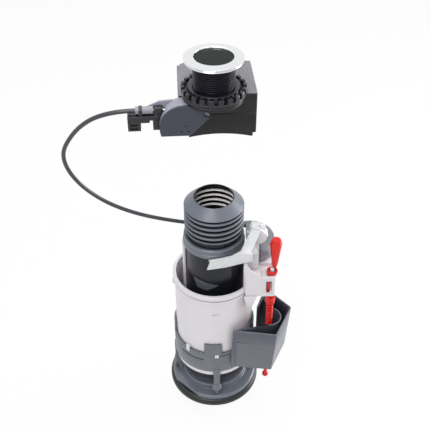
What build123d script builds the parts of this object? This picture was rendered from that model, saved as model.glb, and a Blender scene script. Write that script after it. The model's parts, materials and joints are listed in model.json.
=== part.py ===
from build123d import *
from math import cos, radians, sin, tan
import os

# Sensor flush valve for a toilet cistern, in millimetres.
# The origin is on the valve's axis, on the cistern floor under the base washer.
# +Z is up and the front of the valve, with the float bucket, looks along -Y.

# Fits
RUNNING = 0.08
FIT_GAP = 0.05
SEAT_GAP = 0.3
OVERCUT = 2.0

# Base: rubber washer, flange, threaded tail and seat
WASHER_R = 49.6
WASHER_T = 10.0
WASHER_EDGE = 4.2
TAIL_R = 29.8
TAIL_LENGTH = 18.0
TAIL_RELIEF = 0.3
OUTLET_R = 26.0
OUTLET_LENGTH = 38.0
FLANGE_R = 47.0
FLANGE_T = 5.0
FLANGE_EDGE = 1.4
FLANGE_FLAT = 43.8
FLAT_ANGLES = (228, 48)
SEAT_FOOT_R = 35.5
SEAT_FOOT_H = 6.0
SEAT_H = 13.0
FLANGE_TOP = WASHER_T + FLANGE_T
SEAT_Z = FLANGE_TOP + SEAT_H

# Valve body: a round shell with a rolled rim
BODY_R = 40.6
BODY_WALL = 1.8
BODY_Z0 = 46.0
BODY_TOP = 164.4
BODY_LIP_OUT = 0.8
BODY_LIP_H = 6.0
RIM_OUT = 1.8
RIM_BEAD_OUT = 1.3
RIM_RELIEF = 0.3
BODY_IN = BODY_R - BODY_WALL
BODY_LIP_R = BODY_R + BODY_LIP_OUT
RIM_R = BODY_R + RIM_OUT
RIM_BEAD_R = BODY_R + RIM_BEAD_OUT
RIM_IN = BODY_IN + RIM_RELIEF

# Overflow tube, its seal and its cuff
TUBE_R = 29.4
TUBE_WALL = 2.2
TUBE_SHOULDER_Z = 205.2
NECK_STEP = 2.8
NECK_TOP = 221.6
SPIGOT_STEP = 3.0
SPIGOT_H = 8.0
SEAL_OUT = 3.6
SEAL_T = 3.0
HUB_STEP = 8.4
HUB_WALL = 2.3
RETAINER_OUT = 4.0
RETAINER_T = 3.0
CUFF_OUT = 1.2
CUFF_H = 9.8
GUIDE_GAP = 0.4
SEAT_STEP = 0.4
THROAT_STEP = 3.8
SEAT_LIP_R = TUBE_R - SEAT_STEP
THROAT_R = TUBE_R - THROAT_STEP
NECK_R = TUBE_R - NECK_STEP
SPIGOT_R = NECK_R - SPIGOT_STEP
SEAL_R = TUBE_R + SEAL_OUT
SEAL_HUB_R = TUBE_R - HUB_STEP
RETAINER_R = SEAL_HUB_R + RETAINER_OUT
CUFF_R = TUBE_R + CUFF_OUT
SEAL_Z = SEAT_Z + SEAT_GAP

# Bellows on top of the tube
BELLOWS_OUT = 2.4
BELLOWS_FOOT_STEP = 0.2
GROOVE_DEPTH = 3.2
GROOVE_FLOOR = 0.45
GROOVE_MOUTH = 1.55
FIRST_GROOVE = 3.3
BELLOWS_WALL = 1.5
BELLOWS_GROOVES = 5
BELLOWS_PITCH = 5.84
MOUTH_STEP = 10.2
BELLOWS_CONE_H = 8.7
MOUTH_BEAD = 1.2
BELLOWS_R = NECK_R + BELLOWS_OUT
BELLOWS_MOUTH_R = BELLOWS_R - MOUTH_STEP

# Bayonet collar round the foot of the body
COLLAR_OUT = 2.6
COLLAR_Z0 = 53.0
COLLAR_TOP = 81.0
TAB_TOP = 94.8
TAB_HALF_ANGLE = 12.5
TAB_LAG = 5.4
COLLAR_ANGLE = -86.0
LEG_W = 7.4
LEG_T = 2.5
LEG_HEAD_R = 5.3
LEG_HEAD_Z = 27.5
LUG_OUT = 2.9
LUG_Z = 78.0
LUG_SIZE = 4.4
SLOT_H = 2.4
COLLAR_R = BODY_R + COLLAR_OUT
COLLAR_IN = BODY_R + FIT_GAP
LEG_IN = BODY_LIP_R + FIT_GAP
LEG_R = LEG_IN + LEG_T
LUG_R = BODY_R + LUG_OUT
QUARTER_TURNS = (0, 90, 180, 270)

# Float column on the right of the body
COLUMN_X0 = 29.0
COLUMN_Y1 = 4.0
COLUMN_Z0 = 154.0
COLUMN_WALL = 1.8
COLUMN_LEDGE_Z = 183.0
COLUMN_LOW_Z = 179.7
COLUMN_HORN_Z = 199.0
FRONT_WALL = 2.4
# Corners of the column's front gusset, from its left edge and its foot
COLUMN_GUSSET = [(0.5, 1.0), (14.0, 1.0), (8.5, -15.5), (5.0, -15.5)]
COLUMN_GUSSET_Y0 = -31.0
COLUMN_GUSSET_Y1 = -23.0

# Float rod and bucket
ROD_OUT = 16.9
ROD_BACK = 19.6
ROD_X = BODY_R + ROD_OUT
ROD_Y = ROD_BACK - BODY_R
COLUMN_X1 = ROD_X + 4.1
COLUMN_Y0 = ROD_Y - 8.0
COLUMN_STEP_X = ROD_X - 11.5
COLUMN_STEP_Y = ROD_Y + 10.0
ROD_CORE_R = 2.5
ROD_TAIL_R = 2.0
RIDGE_R = 3.7
RIDGE_W = 1.4
RIDGE_PITCH = 2.8
RIDGE_COUNT = 27
BULGE_Z0 = 138.0
BULGE_TOP = 146.0
BULGE_R = 5.2
BALL_R = 3.4
BALL_Z = 23.0
STEM = 3.0
STEM_OFFSET = 3.2
STEM_WINDOW_LEFT = 2.6
STEM_WINDOW_RIGHT = 3.1
STEM_WINDOW_H = 16.0
WINDOW_UP = 4.5
POST_GAP = 1.4
POST_H = 5.0
STEM_X = ROD_X - STEM_OFFSET
STEM_Y = ROD_Y - STEM_OFFSET
EYELET_R = 5.4
EYELET_IN = 3.4
EYELET_T = 2.6
HANDLE_X = ROD_X + 2.5
HANDLE_Y = ROD_Y + 3.8
HANDLE_TOP = 219.0
HANDLE_NECK_R = 1.9
HANDLE_RISE = 3.5
HANDLE_FOOT_R = 2.9
HANDLE_R = 6.0
HANDLE_CROWN_R = 4.6
HANDLE_CROWN_H = 5.0
HANDLE_SIDES = 8
BUCKET_Z0 = 61.0
BUCKET_TOP = 117.0
BUCKET_WALL = 1.5
POCKET_R = 11.5
BUCKET_CORNER_R = 3.0
BUCKET_STEP = 0.8
BUCKET_STEP_Z = 100.0
# Corners of the bucket from the rod's axis: knee, front left, front right, back right, back, back left
BUCKET_TOP_CORNERS = [(-16.5, -15.0), (-38.5, -20.8), (6.5, -27.0), (24.5, 12.5), (6.2, 33.0), (-7.0, 28.0)]
BUCKET_FLOOR_CORNERS = [(-16.5, -15.0), (-40.1, -20.9), (2.7, -26.6), (20.7, 12.5), (5.2, 31.0), (-7.0, 28.0)]
WING_TIP = (-12.3, 13.0)
EYE_R = 7.2
EYE_H = 10.0

# Lift lever on its trunnion
PIVOT_X = 38.0
PIVOT_Z = 209.5
TRUNNION_R = 4.2
TRUNNION_Y0 = -24.5
TRUNNION_Y1 = 3.6
BLADE_GAP = 1.6
BLADE_T = 2.0
BLADE_Y = -(TUBE_R + BLADE_GAP)
LEVER_WALL = 1.6
WIRE_ARM_T = 3.0
# Corners of the lever's plates, from the trunnion's axis
BLADE_CORNERS = [
    (-45.0, -15.9), (-27.0, -12.5), (-10.0, -6.9), (-3.0, -5.0), (-2.0, 4.5), (-14.0, 7.0), (-21.5, 1.5),
    (-32.0, -1.5), (-41.0, -3.1),
]
CHEEK_CORNERS = [
    (-4.0, -1.0), (-3.4, 15.5), (-1.0, 20.0), (7.0, 18.0), (14.5, 9.5), (12.0, 2.5), (3.0, -3.0),
]
ROOF_CORNERS = [
    (-2.4, 18.5), (-1.0, 20.0), (7.0, 18.0), (14.5, 9.5), (13.2, 8.5), (6.2, 16.5), (-1.0, 18.3), (-1.8, 17.0),
]
RAMP_FOOT = [(-14.0, 4.5), (-3.0, 4.5)]
RAMP_HEAD = [(7.0, 17.5), (-2.5, 17.5)]
CHEEK_PLACES = (-12.0, -3.0)
LOOP_PLACE = (8.0, 17.0)
LOOP_R = 4.0
LOOP_IN = 2.4
LOOP_Y0 = -9.0
LOOP_Y1 = -6.5
LINK_X0 = 29.0
LINK_Y1 = -21.0
RIB_X0 = -5.0
RIB_X1 = 2.0
EAR_HALF_W = 5.6
EAR_T = 3.0
EAR_TOP = 213.0
EAR_MOUTH = 6.0
EAR_PLACES = (-20.0, 0.4)

# Push cable
WIRE_R = 0.75
WIRE_BORE_R = 0.95
SHEATH_R = 2.0
FERRULE_R = 3.4
WIRE_BALL_R = 2.2
VALVE_WIRE_Y = -7.0
VALVE_WIRE_Z = 194.5

# Round cable guide behind the lever
GUIDE_X = 36.0
GUIDE_Y = 12.5
GUIDE_R = 25.0
GUIDE_TOP = 198.5
GUIDE_WALL = 1.5
GUIDE_X0 = 33.0
GUIDE_FRONT_X = 46.0
GUIDE_FRONT_Y = 5.0
ENTRY_X = 18.0
ENTRY_Y = 35.5
ENTRY_LEAD = 25.0
START_LEAD = 12.6

# Batteries, AA size
CELL_R = 7.25
CELL_L = 49.5
CELL_NUB_R = 2.75
CELL_NUB_L = 1.0
CELL_GAP = 0.2
CONTACT_T = 0.4
TRAY_WALL = 1.2
TRAY_X0 = -21.6
TRAY_Y0 = 26.0
TRAY_H = 16.0
TRAY_SIDE_GAP = 3.4
TRAY_X1 = TRAY_X0 + CELL_L + CELL_NUB_L + 2 * (CONTACT_T + TRAY_WALL)

# Sensor unit: its housing is turned a little about the barrel's axis
SENSOR_YAW = 4.0
BOX_X0 = -30.0
BOX_Y0 = -0.5
BOX_Y1 = 60.5
BOX_Z0 = 328.0
BASE_H = 20.0
COVER_H = 19.0
BOX_SEAM = BOX_Z0 + BASE_H
BOX_TOP = BOX_SEAM + COVER_H
BOX_WALL = 2.0
BOX_X1 = TRAY_X1 + TRAY_SIDE_GAP + BOX_WALL
BOX_CHAMFER = 6.2
BOX_EDGE = 1.5
FOOT_H = 3.5
LOBE_R = 26.0
LOBE_T = 3.0
SEAM_GROOVE = 0.6
BARREL_R = 18.0
BARREL_IN = 15.5
BARREL_H = 32.2
LEDGE_W = 1.5
BARREL_TOP = BOX_TOP + BARREL_H
NUT_R = 28.0
NUT_HUB_R = 22.4
NUT_H = 6.6
NUT_LIFT = 2.6
NUT_FLOOR = 2.0
NUT_TOOTH_T = 3.0
NUT_TEETH = 22
NUT_TOOTH_ANGLE = 9.0
BEZEL_R = 25.5
BEZEL_IN = 16.8
BEZEL_H = 3.6
BEZEL_EDGE = 0.6
WINDOW_H = 2.0
EYE_LED_R = 2.5
EYE_LED_X = 5.5
SENSOR_BOARD_UP = 19.0
SENSOR_BOARD_Z = BOX_TOP + SENSOR_BOARD_UP
BOARD_T = 1.6

# Drive inside the sensor unit
DRIVE_X = -22.5
DRIVE_UP = 19.5
DRIVE_Z = BOX_Z0 + DRIVE_UP
WIRE_TURN_R = 10.0
QUADRANT_HALF_ANGLE = 52.0
DRIVE_Y = -6.0
SENSOR_WIRE_Z = DRIVE_Z + WIRE_TURN_R
SHAFT_R = 1.5
MOTOR_W = 10.0
MOTOR_H = 12.0
MOTOR_L = 24.0
GEARBOX_L = 9.0
DRUM_FRONT = -14.5
DRUM_WALL = 1.6
COVER_T = 2.0
CASING_X = -25.7
CASING_UP = 16.5
CASING_Z = BOX_Z0 + CASING_UP
CASING_R = 21.5
CASING_DROP = 7.5
# Corners of the casing's point, its heel, its foot and the gusset, from the casing's middle
CASING_TIP = (21.2, 9.7)
CASING_HEEL = (6.7, -5.7)
CASING_FOOT = 3.7
DRIVE_GUSSET = [(-36.3, 1.0), (-36.3, 12.0), (-21.3, 19.0), (-9.3, 20.0), (-14.3, 1.0)]
MARK_R = 0.9
MARK_PLACES = (-2.8, 3.3)
MARK_DROP = 3.0
DASH_X0 = -1.1
DASH_X1 = 1.5
DASH_UP = 1.9
DASH_H = 1.0
WEDGE_PLACE = (17.7, 10.1)
WEDGE_H = 3.0
PIN_PLACE = (19.8, 9.7)
CASING_Z0 = CASING_Z - CASING_DROP
GUSSET_Y = -2.5
ARM_X0 = -74.0
ARM_X1 = -44.0
ARM_FOOT_X = -52.6
ARM_Y0 = -11.0
ARM_Y1 = GUSSET_Y - FIT_GAP
ARM_UP = 19.8
ARM_Z0 = BOX_Z0 + ARM_UP
FERRULE_X0 = -67.0
FERRULE_X1 = -52.0
CLIP_PLACE = 3.0
CLIP_W = 2.6
ARM_TOP = SENSOR_WIRE_Z - FERRULE_R - FIT_GAP

# Route of the free cable, from the sensor ferrule to the valve ferrule
YAW = radians(SENSOR_YAW)
CABLE_START = (
    FERRULE_X0 * cos(YAW) - DRIVE_Y * sin(YAW), FERRULE_X0 * sin(YAW) + DRIVE_Y * cos(YAW), SENSOR_WIRE_Z
)
CABLE_LEAD = (CABLE_START[0] - START_LEAD * cos(YAW), CABLE_START[1] - START_LEAD * sin(YAW), SENSOR_WIRE_Z)
CABLE_BENDS = [
    (-97.7, -9.5, 351.9), (-111.2, -5.0, 342.5), (-123.2, 0.0, 329.5), (-133.7, 5.0, 313.0),
    (-137.9, 8.0, 301.9), (-139.0, 11.0, 290.3), (-136.4, 15.0, 274.7), (-128.6, 20.0, 256.2),
    (-115.9, 24.0, 239.5), (-100.9, 28.0, 225.3), (-81.0, 31.0, 213.4), (-60.2, 33.5, 204.9),
    (-33.0, 35.2, 197.9),
]
CABLE_END = (ENTRY_X, ENTRY_Y, VALVE_WIRE_Z)
CABLE_RUN_IN = (ENTRY_X - ENTRY_LEAD, ENTRY_Y, VALVE_WIRE_Z)
CABLE_ROUTE = [CABLE_START, CABLE_LEAD, *CABLE_BENDS, CABLE_RUN_IN, CABLE_END]

ON_BASE = (Align.CENTER, Align.CENTER, Align.MIN)
SENSOR = Rot(0, 0, SENSOR_YAW)


def disc(radius, z0, z1, x=0.0, y=0.0):
    """Upright cylinder between two heights."""
    return Pos(x, y, z0) * Cylinder(radius, z1 - z0, align=ON_BASE)


def ring(outer, inner, z0, z1, x=0.0, y=0.0):
    """Upright tube between two heights."""
    return disc(outer, z0, z1, x, y) - disc(inner, z0 - OVERCUT, z1 + OVERCUT, x, y)


def bar_x(radius, x0, x1, y, z):
    """Round bar along X."""
    return Pos(x0, y, z) * Rot(0, 90, 0) * Cylinder(radius, x1 - x0, align=ON_BASE)


def bar_y(radius, y0, y1, x, z):
    """Round bar along Y."""
    return Pos(x, y1, z) * Rot(90, 0, 0) * Cylinder(radius, y1 - y0, align=ON_BASE)


def block(x0, x1, y0, y1, z0, z1):
    """Box between six faces."""
    return Pos((x0 + x1) / 2, (y0 + y1) / 2, (z0 + z1) / 2) * Box(x1 - x0, y1 - y0, z1 - z0)


def polygon(*points):
    """Flat face through a few corners."""
    return make_face(Polyline(*points, close=True))


def plate(face, y0, y1):
    """Face drawn in X and Z, made solid between two depths."""
    upright = Plane.XZ * face
    return extrude(Pos(0, y1, 0) * upright, amount=y1 - y0, dir=(0, -1, 0))


def prism(face, z0, z1):
    """Face drawn in plan, made solid between two heights."""
    return extrude(Pos(0, 0, z0) * face, amount=z1 - z0, dir=(0, 0, 1))


def turned(*points):
    """Profile of radius and height, turned about the valve's axis."""
    return revolve(Plane.XZ * polygon(*points), axis=Axis.Z)


def sector(outer, inner, angle0, angle1, z0, z1):
    """Part of a ring between two angles."""
    swing = angle1 - angle0
    ends = [(cos(radians(a)), sin(radians(a))) for a in (angle0, angle1)]
    sides = [Line((inner * c, inner * s), (outer * c, outer * s)) for c, s in ends]
    arcs = [CenterArc((0, 0), r, angle0, swing) for r in (inner, outer)]
    return prism(make_face(sides + arcs), z0, z1)


def fused(first, *others):
    """One solid from overlapping pieces."""
    for other in others:
        first = first + other
    return first


# Base of the valve

def base_washer():
    """Thick soft washer with a rounded rim."""
    inner = TAIL_R + SEAT_GAP
    section = Pos((inner + WASHER_R) / 2, WASHER_T / 2) * Rectangle(WASHER_R - inner, WASHER_T)
    outer_corners = section.vertices().sort_by(Axis.X)[-2:]
    return revolve(Plane.XZ * fillet(outer_corners, WASHER_EDGE), axis=Axis.Z)


def valve_base():
    """Flange with its outlet tail below and its stepped seat above."""
    step_z = FLANGE_TOP + SEAT_FOOT_H
    throat_z = OUTLET_LENGTH - TAIL_LENGTH
    neck_r = TAIL_R - TAIL_RELIEF
    base = turned(
        (OUTLET_R, -TAIL_LENGTH), (TAIL_R, -TAIL_LENGTH), (TAIL_R, 0), (neck_r, 0), (neck_r, WASHER_T),
        (FLANGE_R, WASHER_T), (FLANGE_R, FLANGE_TOP - FLANGE_EDGE), (FLANGE_R - FLANGE_EDGE, FLANGE_TOP),
        (SEAT_FOOT_R + FLANGE_EDGE, FLANGE_TOP), (SEAT_FOOT_R, step_z), (SEAT_LIP_R, step_z),
        (SEAT_LIP_R, SEAT_Z), (THROAT_R, SEAT_Z), (THROAT_R, throat_z), (OUTLET_R, throat_z),
    )
    above = FLANGE_TOP + OVERCUT
    beyond = block(FLANGE_FLAT, FLANGE_R + OVERCUT, -FLANGE_R, FLANGE_R, WASHER_T - OVERCUT, above)
    for angle in FLAT_ANGLES:
        base = base - Rot(0, 0, angle) * beyond
    return base


def collar_leg():
    """Front leg of the collar: a strap, a round head and a pointed foot on the flange."""
    half = LEG_W / 2
    strap = polygon(
        (-half, COLLAR_Z0 + half), (half, COLLAR_Z0 + half), (half - 0.6, LEG_HEAD_Z),
        (half - 1.0, LEG_HEAD_Z - half), (half / 3, FLANGE_TOP), (-half / 3, FLANGE_TOP),
        (1.0 - half, LEG_HEAD_Z - half), (0.6 - half, LEG_HEAD_Z),
    )
    head = bar_y(LEG_HEAD_R, -LEG_R - 0.8, -LEG_IN, 0, LEG_HEAD_Z)
    return plate(strap, -LEG_R, -LEG_IN) + head


def bayonet_collar():
    """Slotted ring that locks the body's lugs, on four legs."""
    collar = ring(COLLAR_R, COLLAR_IN, COLLAR_Z0, COLLAR_TOP)
    for turn in QUARTER_TURNS:
        middle = COLLAR_ANGLE + turn
        low = middle - TAB_LAG - TAB_HALF_ANGLE
        high = middle - TAB_LAG + TAB_HALF_ANGLE
        collar = collar + sector(COLLAR_R, COLLAR_IN, low, high, COLLAR_TOP - OVERCUT, TAB_TOP)
        collar = collar + Rot(0, 0, middle + 90) * collar_leg()
    inside = COLLAR_IN - OVERCUT
    outside = COLLAR_R + OVERCUT
    half = LUG_SIZE / 2 + SEAT_GAP
    for turn in QUARTER_TURNS:
        middle = COLLAR_ANGLE + turn
        window = block(inside, outside, -half, half, LUG_Z - half, LUG_Z + half)
        collar = collar - Rot(0, 0, middle) * window
        collar = collar - sector(outside, inside, middle - 57, middle - 19, LUG_Z - 7.9, LUG_Z - 7.9 + SLOT_H)
        collar = collar - sector(outside, inside, middle, middle + 19, LUG_Z - SLOT_H / 4, LUG_Z + SLOT_H / 4)
        notch = block(inside, outside, -half, half, COLLAR_TOP - 5.0, COLLAR_TOP + OVERCUT)
        collar = collar - Rot(0, 0, middle - 44) * notch
    return collar


def body_lugs():
    """Bayonet lugs that stand out through the collar's windows and notches."""
    half = LUG_SIZE / 2
    lugs = []
    for turn in QUARTER_TURNS:
        middle = COLLAR_ANGLE + turn
        window_lug = block(BODY_R - 1.0, LUG_R, -half, half, LUG_Z - half, LUG_Z + half)
        notch_lug = block(BODY_R - 1.0, LUG_R, -half, half, COLLAR_TOP - 4.6, COLLAR_TOP + 3.4)
        lugs.append(Rot(0, 0, middle) * window_lug)
        lugs.append(Rot(0, 0, middle - 44) * notch_lug)
    return lugs


def valve_body():
    """Round white shell with a beaded rim, inner guide fins and one tall guide stave."""
    top = BODY_TOP
    shell = turned(
        (BODY_IN, BODY_Z0), (BODY_LIP_R, BODY_Z0), (BODY_LIP_R, BODY_Z0 + BODY_LIP_H),
        (BODY_R, COLLAR_Z0 - SEAT_GAP), (BODY_R, top - 11.5), (RIM_BEAD_R, top - 10.2),
        (RIM_BEAD_R, top - 7.2), (RIM_BEAD_R - 0.7, top - 6.4), (RIM_BEAD_R - 0.7, top - 5.4),
        (RIM_R, top - 4.6), (RIM_R, top - 0.8), (RIM_R - 0.8, top), (RIM_IN, top),
        (RIM_IN, top - 6.0), (BODY_IN, top - 9.0),
    )
    guide_r = TUBE_R + GUIDE_GAP
    fins = [Rot(0, 0, a) * block(guide_r, BODY_IN + 0.5, -1, 1, 60, 130) for a in (60, 300)]
    stave = sector(guide_r + 1.9, guide_r, 152, 199, 60, TUBE_SHOULDER_Z - 2.2)
    stave_fin = Rot(0, 0, 176) * block(guide_r + 0.5, BODY_IN + 0.5, -1.2, 1.2, 60, 120)
    bump = Pos(2.5, -BODY_R, 138.5) * scale(Sphere(1.0), by=(4.6, 1.3, 1.5))
    rim_tab = Rot(0, 0, 185) * block(BODY_R - 0.5, RIM_R + 0.6, -1.5, 1.5, top - 15.5, top - 9.5)
    return fused(shell, *fins, stave, stave_fin, bump, rim_tab, *body_lugs())


# Lifting tube

def overflow_tube():
    """Overflow tube with a seal plate below and a stepped neck above."""
    inner = TUBE_R - TUBE_WALL
    plate_z = SEAL_Z + SEAL_T
    hub_in = SEAL_HUB_R - HUB_WALL
    hub_z0 = SEAL_Z - RETAINER_T - 1.0
    tube = turned(
        (hub_in, hub_z0), (SEAL_HUB_R, hub_z0), (SEAL_HUB_R, plate_z), (SEAL_R, plate_z),
        (SEAL_R, plate_z + 2.5), (TUBE_R, plate_z + 5.0), (TUBE_R, TUBE_SHOULDER_Z),
        (NECK_R, TUBE_SHOULDER_Z), (NECK_R, NECK_TOP),
        (SPIGOT_R, NECK_TOP), (SPIGOT_R, NECK_TOP + SPIGOT_H), (SPIGOT_R - 1.6, NECK_TOP + SPIGOT_H),
        (SPIGOT_R - 1.6, NECK_TOP - 2.0), (NECK_R - TUBE_WALL, NECK_TOP - 4.0),
        (NECK_R - TUBE_WALL, TUBE_SHOULDER_Z - TUBE_WALL), (inner, TUBE_SHOULDER_Z - TUBE_WALL - 3.0),
        (inner, plate_z + 6.0), (hub_in, plate_z + 2.5),
    )
    pad_outline = polygon((-20.6, 176.0), (4.7, 170.0), (-7.3, 162.8), (-16.8, 164.3))
    pad = plate(pad_outline, -TUBE_R - OVERCUT, -TUBE_R / 3) & ring(TUBE_R + 1.1, TUBE_R - 0.5, 160, 178)
    return tube + pad


def main_seal():
    """Rubber ring that closes on the seat."""
    return ring(SEAL_R, SEAL_HUB_R + FIT_GAP, SEAL_Z, SEAL_Z + SEAL_T)


def seal_retainer():
    """Ring under the seal that holds it on the tube's hub."""
    return ring(RETAINER_R, SEAL_HUB_R + FIT_GAP, SEAL_Z - RETAINER_T, SEAL_Z)


def tube_cuff():
    """Ring on the tube's shoulder, which the lever lifts by its overhang."""
    z0 = TUBE_SHOULDER_Z
    z1 = TUBE_SHOULDER_Z + CUFF_H
    inner = NECK_R + FIT_GAP
    return turned(
        (inner, z0), (CUFF_R, z0), (CUFF_R, z0 + 3.4), (CUFF_R - 0.7, z0 + 4.1),
        (CUFF_R - 0.7, z1 - 1.0), (CUFF_R - 1.7, z1), (inner, z1),
    )


def overflow_bellows():
    """Thin rubber bellows with a narrowing mouth."""
    outer = [(NECK_R - BELLOWS_FOOT_STEP, NECK_TOP), (BELLOWS_R, NECK_TOP + GROOVE_FLOOR)]
    floor_r = BELLOWS_R - GROOVE_DEPTH
    for groove in range(BELLOWS_GROOVES):
        z = NECK_TOP + FIRST_GROOVE + groove * BELLOWS_PITCH
        outer.append((BELLOWS_R, z - GROOVE_MOUTH))
        outer.append((floor_r, z - GROOVE_FLOOR))
        outer.append((floor_r, z + GROOVE_FLOOR))
        outer.append((BELLOWS_R, z + GROOVE_MOUTH))
    inner = [(r - BELLOWS_WALL, height) for r, height in outer]
    mouth_z = outer[-1][1] + BELLOWS_CONE_H
    lip = [
        (BELLOWS_MOUTH_R + MOUTH_BEAD, mouth_z - MOUTH_BEAD / 2), (BELLOWS_MOUTH_R + MOUTH_BEAD / 2, mouth_z),
        (BELLOWS_MOUTH_R - MOUTH_BEAD / 2, mouth_z), (BELLOWS_MOUTH_R - MOUTH_BEAD / 2, mouth_z - MOUTH_BEAD),
    ]
    return turned(*outer, *lip, *reversed(inner))


# Float column, rod and bucket

def trunnion_ear(y0):
    """Open bearing that the lever's trunnion snaps into from above."""
    ear = block(PIVOT_X - EAR_HALF_W, PIVOT_X + EAR_HALF_W, y0, y0 + EAR_T, COLUMN_LEDGE_Z - OVERCUT, EAR_TOP)
    bearing = bar_y(TRUNNION_R + RUNNING, y0 - OVERCUT, y0 + EAR_T + OVERCUT, PIVOT_X, PIVOT_Z)
    half = EAR_MOUTH / 2
    back = y0 + EAR_T + OVERCUT
    mouth = block(PIVOT_X - half, PIVOT_X + half, y0 - OVERCUT, back, PIVOT_Z, EAR_TOP + OVERCUT)
    return ear - bearing - mouth


def float_column():
    """White hollow column that saddles the rim, with a scooped front wall and the lever's bearings."""
    low = block(COLUMN_X0, COLUMN_X1, COLUMN_Y0, COLUMN_Y1, COLUMN_Z0, COLUMN_LOW_Z)
    left = block(COLUMN_X0, COLUMN_STEP_X, COLUMN_Y0, COLUMN_Y1, COLUMN_Z0, COLUMN_LEDGE_Z)
    rear = block(COLUMN_X0, COLUMN_X1, COLUMN_STEP_Y, COLUMN_Y1, COLUMN_Z0, COLUMN_LEDGE_Z)
    column = fillet((low + left + rear).edges().filter_by(Axis.Z).group_by(Axis.Y)[0], 3.0)
    foot_z = COLUMN_Z0 + 4.0
    horn = (COLUMN_X0 + 2.5, COLUMN_HORN_Z)
    low_end = (COLUMN_STEP_X, COLUMN_LOW_Z + 2.5)
    scoop = [
        Polyline(
            low_end, (COLUMN_STEP_X, foot_z), (COLUMN_X0 + 4.0, foot_z), (COLUMN_X0, COLUMN_HORN_Z - 6.0),
            (COLUMN_X0, COLUMN_HORN_Z), horn,
        ),
        ThreePointArc(horn, (COLUMN_X0 + 7.5, COLUMN_LEDGE_Z + 5.6), low_end),
    ]
    front_wall = plate(make_face(scoop), COLUMN_Y0, COLUMN_Y0 + FRONT_WALL)
    gusset = polygon(*[(COLUMN_X0 + x, COLUMN_Z0 + z) for x, z in COLUMN_GUSSET])
    gusset = plate(gusset, COLUMN_GUSSET_Y0, COLUMN_GUSSET_Y1)
    post = disc(EYELET_IN - POST_GAP, COLUMN_LOW_Z - OVERCUT, COLUMN_LOW_Z + POST_H, ROD_X, ROD_Y)
    column = fused(column, front_wall, gusset, post, *[trunnion_ear(y) for y in EAR_PLACES])
    wall = COLUMN_WALL
    inside_y0 = COLUMN_Y0 + wall
    inside_y1 = COLUMN_Y1 - wall
    ceiling = COLUMN_LOW_Z - wall
    cavity = block(COLUMN_X0 + wall, COLUMN_X1 - wall, inside_y0, inside_y1, COLUMN_Z0 - OVERCUT, ceiling)
    cavity = cavity - disc(RIM_R + FIT_GAP + wall, COLUMN_Z0 - 2 * OVERCUT, COLUMN_LOW_Z)
    room = STEM / 2 + SEAT_GAP
    shaft = block(STEM_X - room, STEM_X + room, STEM_Y - room, STEM_Y + room, COLUMN_Z0, COLUMN_LEDGE_Z)
    window_z0 = COLUMN_Z0 + WINDOW_UP
    window_z1 = window_z0 + STEM_WINDOW_H
    window = block(
        STEM_X - STEM_WINDOW_LEFT, STEM_X + STEM_WINDOW_RIGHT, COLUMN_Y0 - OVERCUT, inside_y0 + OVERCUT,
        window_z0, window_z1,
    )
    saddle = disc(RIM_R + FIT_GAP, COLUMN_Z0 - 20, BODY_TOP + FIT_GAP)
    tube_room = disc(CUFF_R + OVERCUT, BODY_TOP - OVERCUT, EAR_TOP + OVERCUT)
    return column - cavity - shaft - window - saddle - tube_room


def handle_section(radius, z):
    """Eight-sided section of the rod's handle."""
    return Pos(HANDLE_X, HANDLE_Y, z) * RegularPolygon(radius, HANDLE_SIDES)


def adjuster_rod():
    """Red rod in one moulding: handle, eyelet, stem, ridged shank and ball end."""
    eyelet_z = COLUMN_LOW_Z + SEAT_GAP
    eyelet = ring(EYELET_R, EYELET_IN, eyelet_z, eyelet_z + EYELET_T, ROD_X, ROD_Y)
    neck_z = eyelet_z + EYELET_T + HANDLE_RISE
    neck = disc(HANDLE_NECK_R, eyelet_z, neck_z + 1, HANDLE_X, HANDLE_Y)
    foot = handle_section(HANDLE_FOOT_R, neck_z)
    shoulder = handle_section(HANDLE_R, HANDLE_TOP - HANDLE_CROWN_H)
    grip = loft([foot, shoulder])
    crown = loft([shoulder, handle_section(HANDLE_CROWN_R, HANDLE_TOP)])
    half = STEM / 2
    stem_z0 = BULGE_TOP - STEM
    stem = block(STEM_X - half, STEM_X + half, STEM_Y - half, STEM_Y + half, stem_z0, eyelet_z + EYELET_T)
    bulge = Pos(ROD_X, ROD_Y, BULGE_Z0) * extrude(RegularPolygon(BULGE_R, 6), BULGE_TOP - BULGE_Z0)
    tail = disc(ROD_TAIL_R, BALL_Z, BULGE_Z0, ROD_X, ROD_Y)
    core = disc(ROD_CORE_R, BULGE_Z0 - (RIDGE_COUNT + 1) * RIDGE_PITCH, BULGE_Z0 + 1, ROD_X, ROD_Y)
    ridges = []
    for step in range(RIDGE_COUNT):
        z0 = BULGE_Z0 - (step + 1) * RIDGE_PITCH
        ridges.append(disc(RIDGE_R, z0, z0 + RIDGE_W, ROD_X, ROD_Y))
    ball = Pos(ROD_X, ROD_Y, BALL_Z) * Sphere(BALL_R)
    return fused(eyelet, neck, grip, crown, stem, bulge, core, tail, ball, *ridges)


def pocket_ends():
    """Where the bucket's round pocket starts and ends."""
    angle = radians(58)
    return (ROD_X + POCKET_R * cos(angle), ROD_Y + POCKET_R * sin(angle)), (ROD_X, ROD_Y - POCKET_R)


def bucket_corners(z):
    """Outer corners of the tapered bucket at a height."""
    share = (z - BUCKET_Z0) / (BUCKET_TOP - BUCKET_Z0)
    pairs = zip(BUCKET_FLOOR_CORNERS, BUCKET_TOP_CORNERS)
    return [(ROD_X + x0 + share * (x1 - x0), ROD_Y + y0 + share * (y1 - y0)) for (x0, y0), (x1, y1) in pairs]


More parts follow.
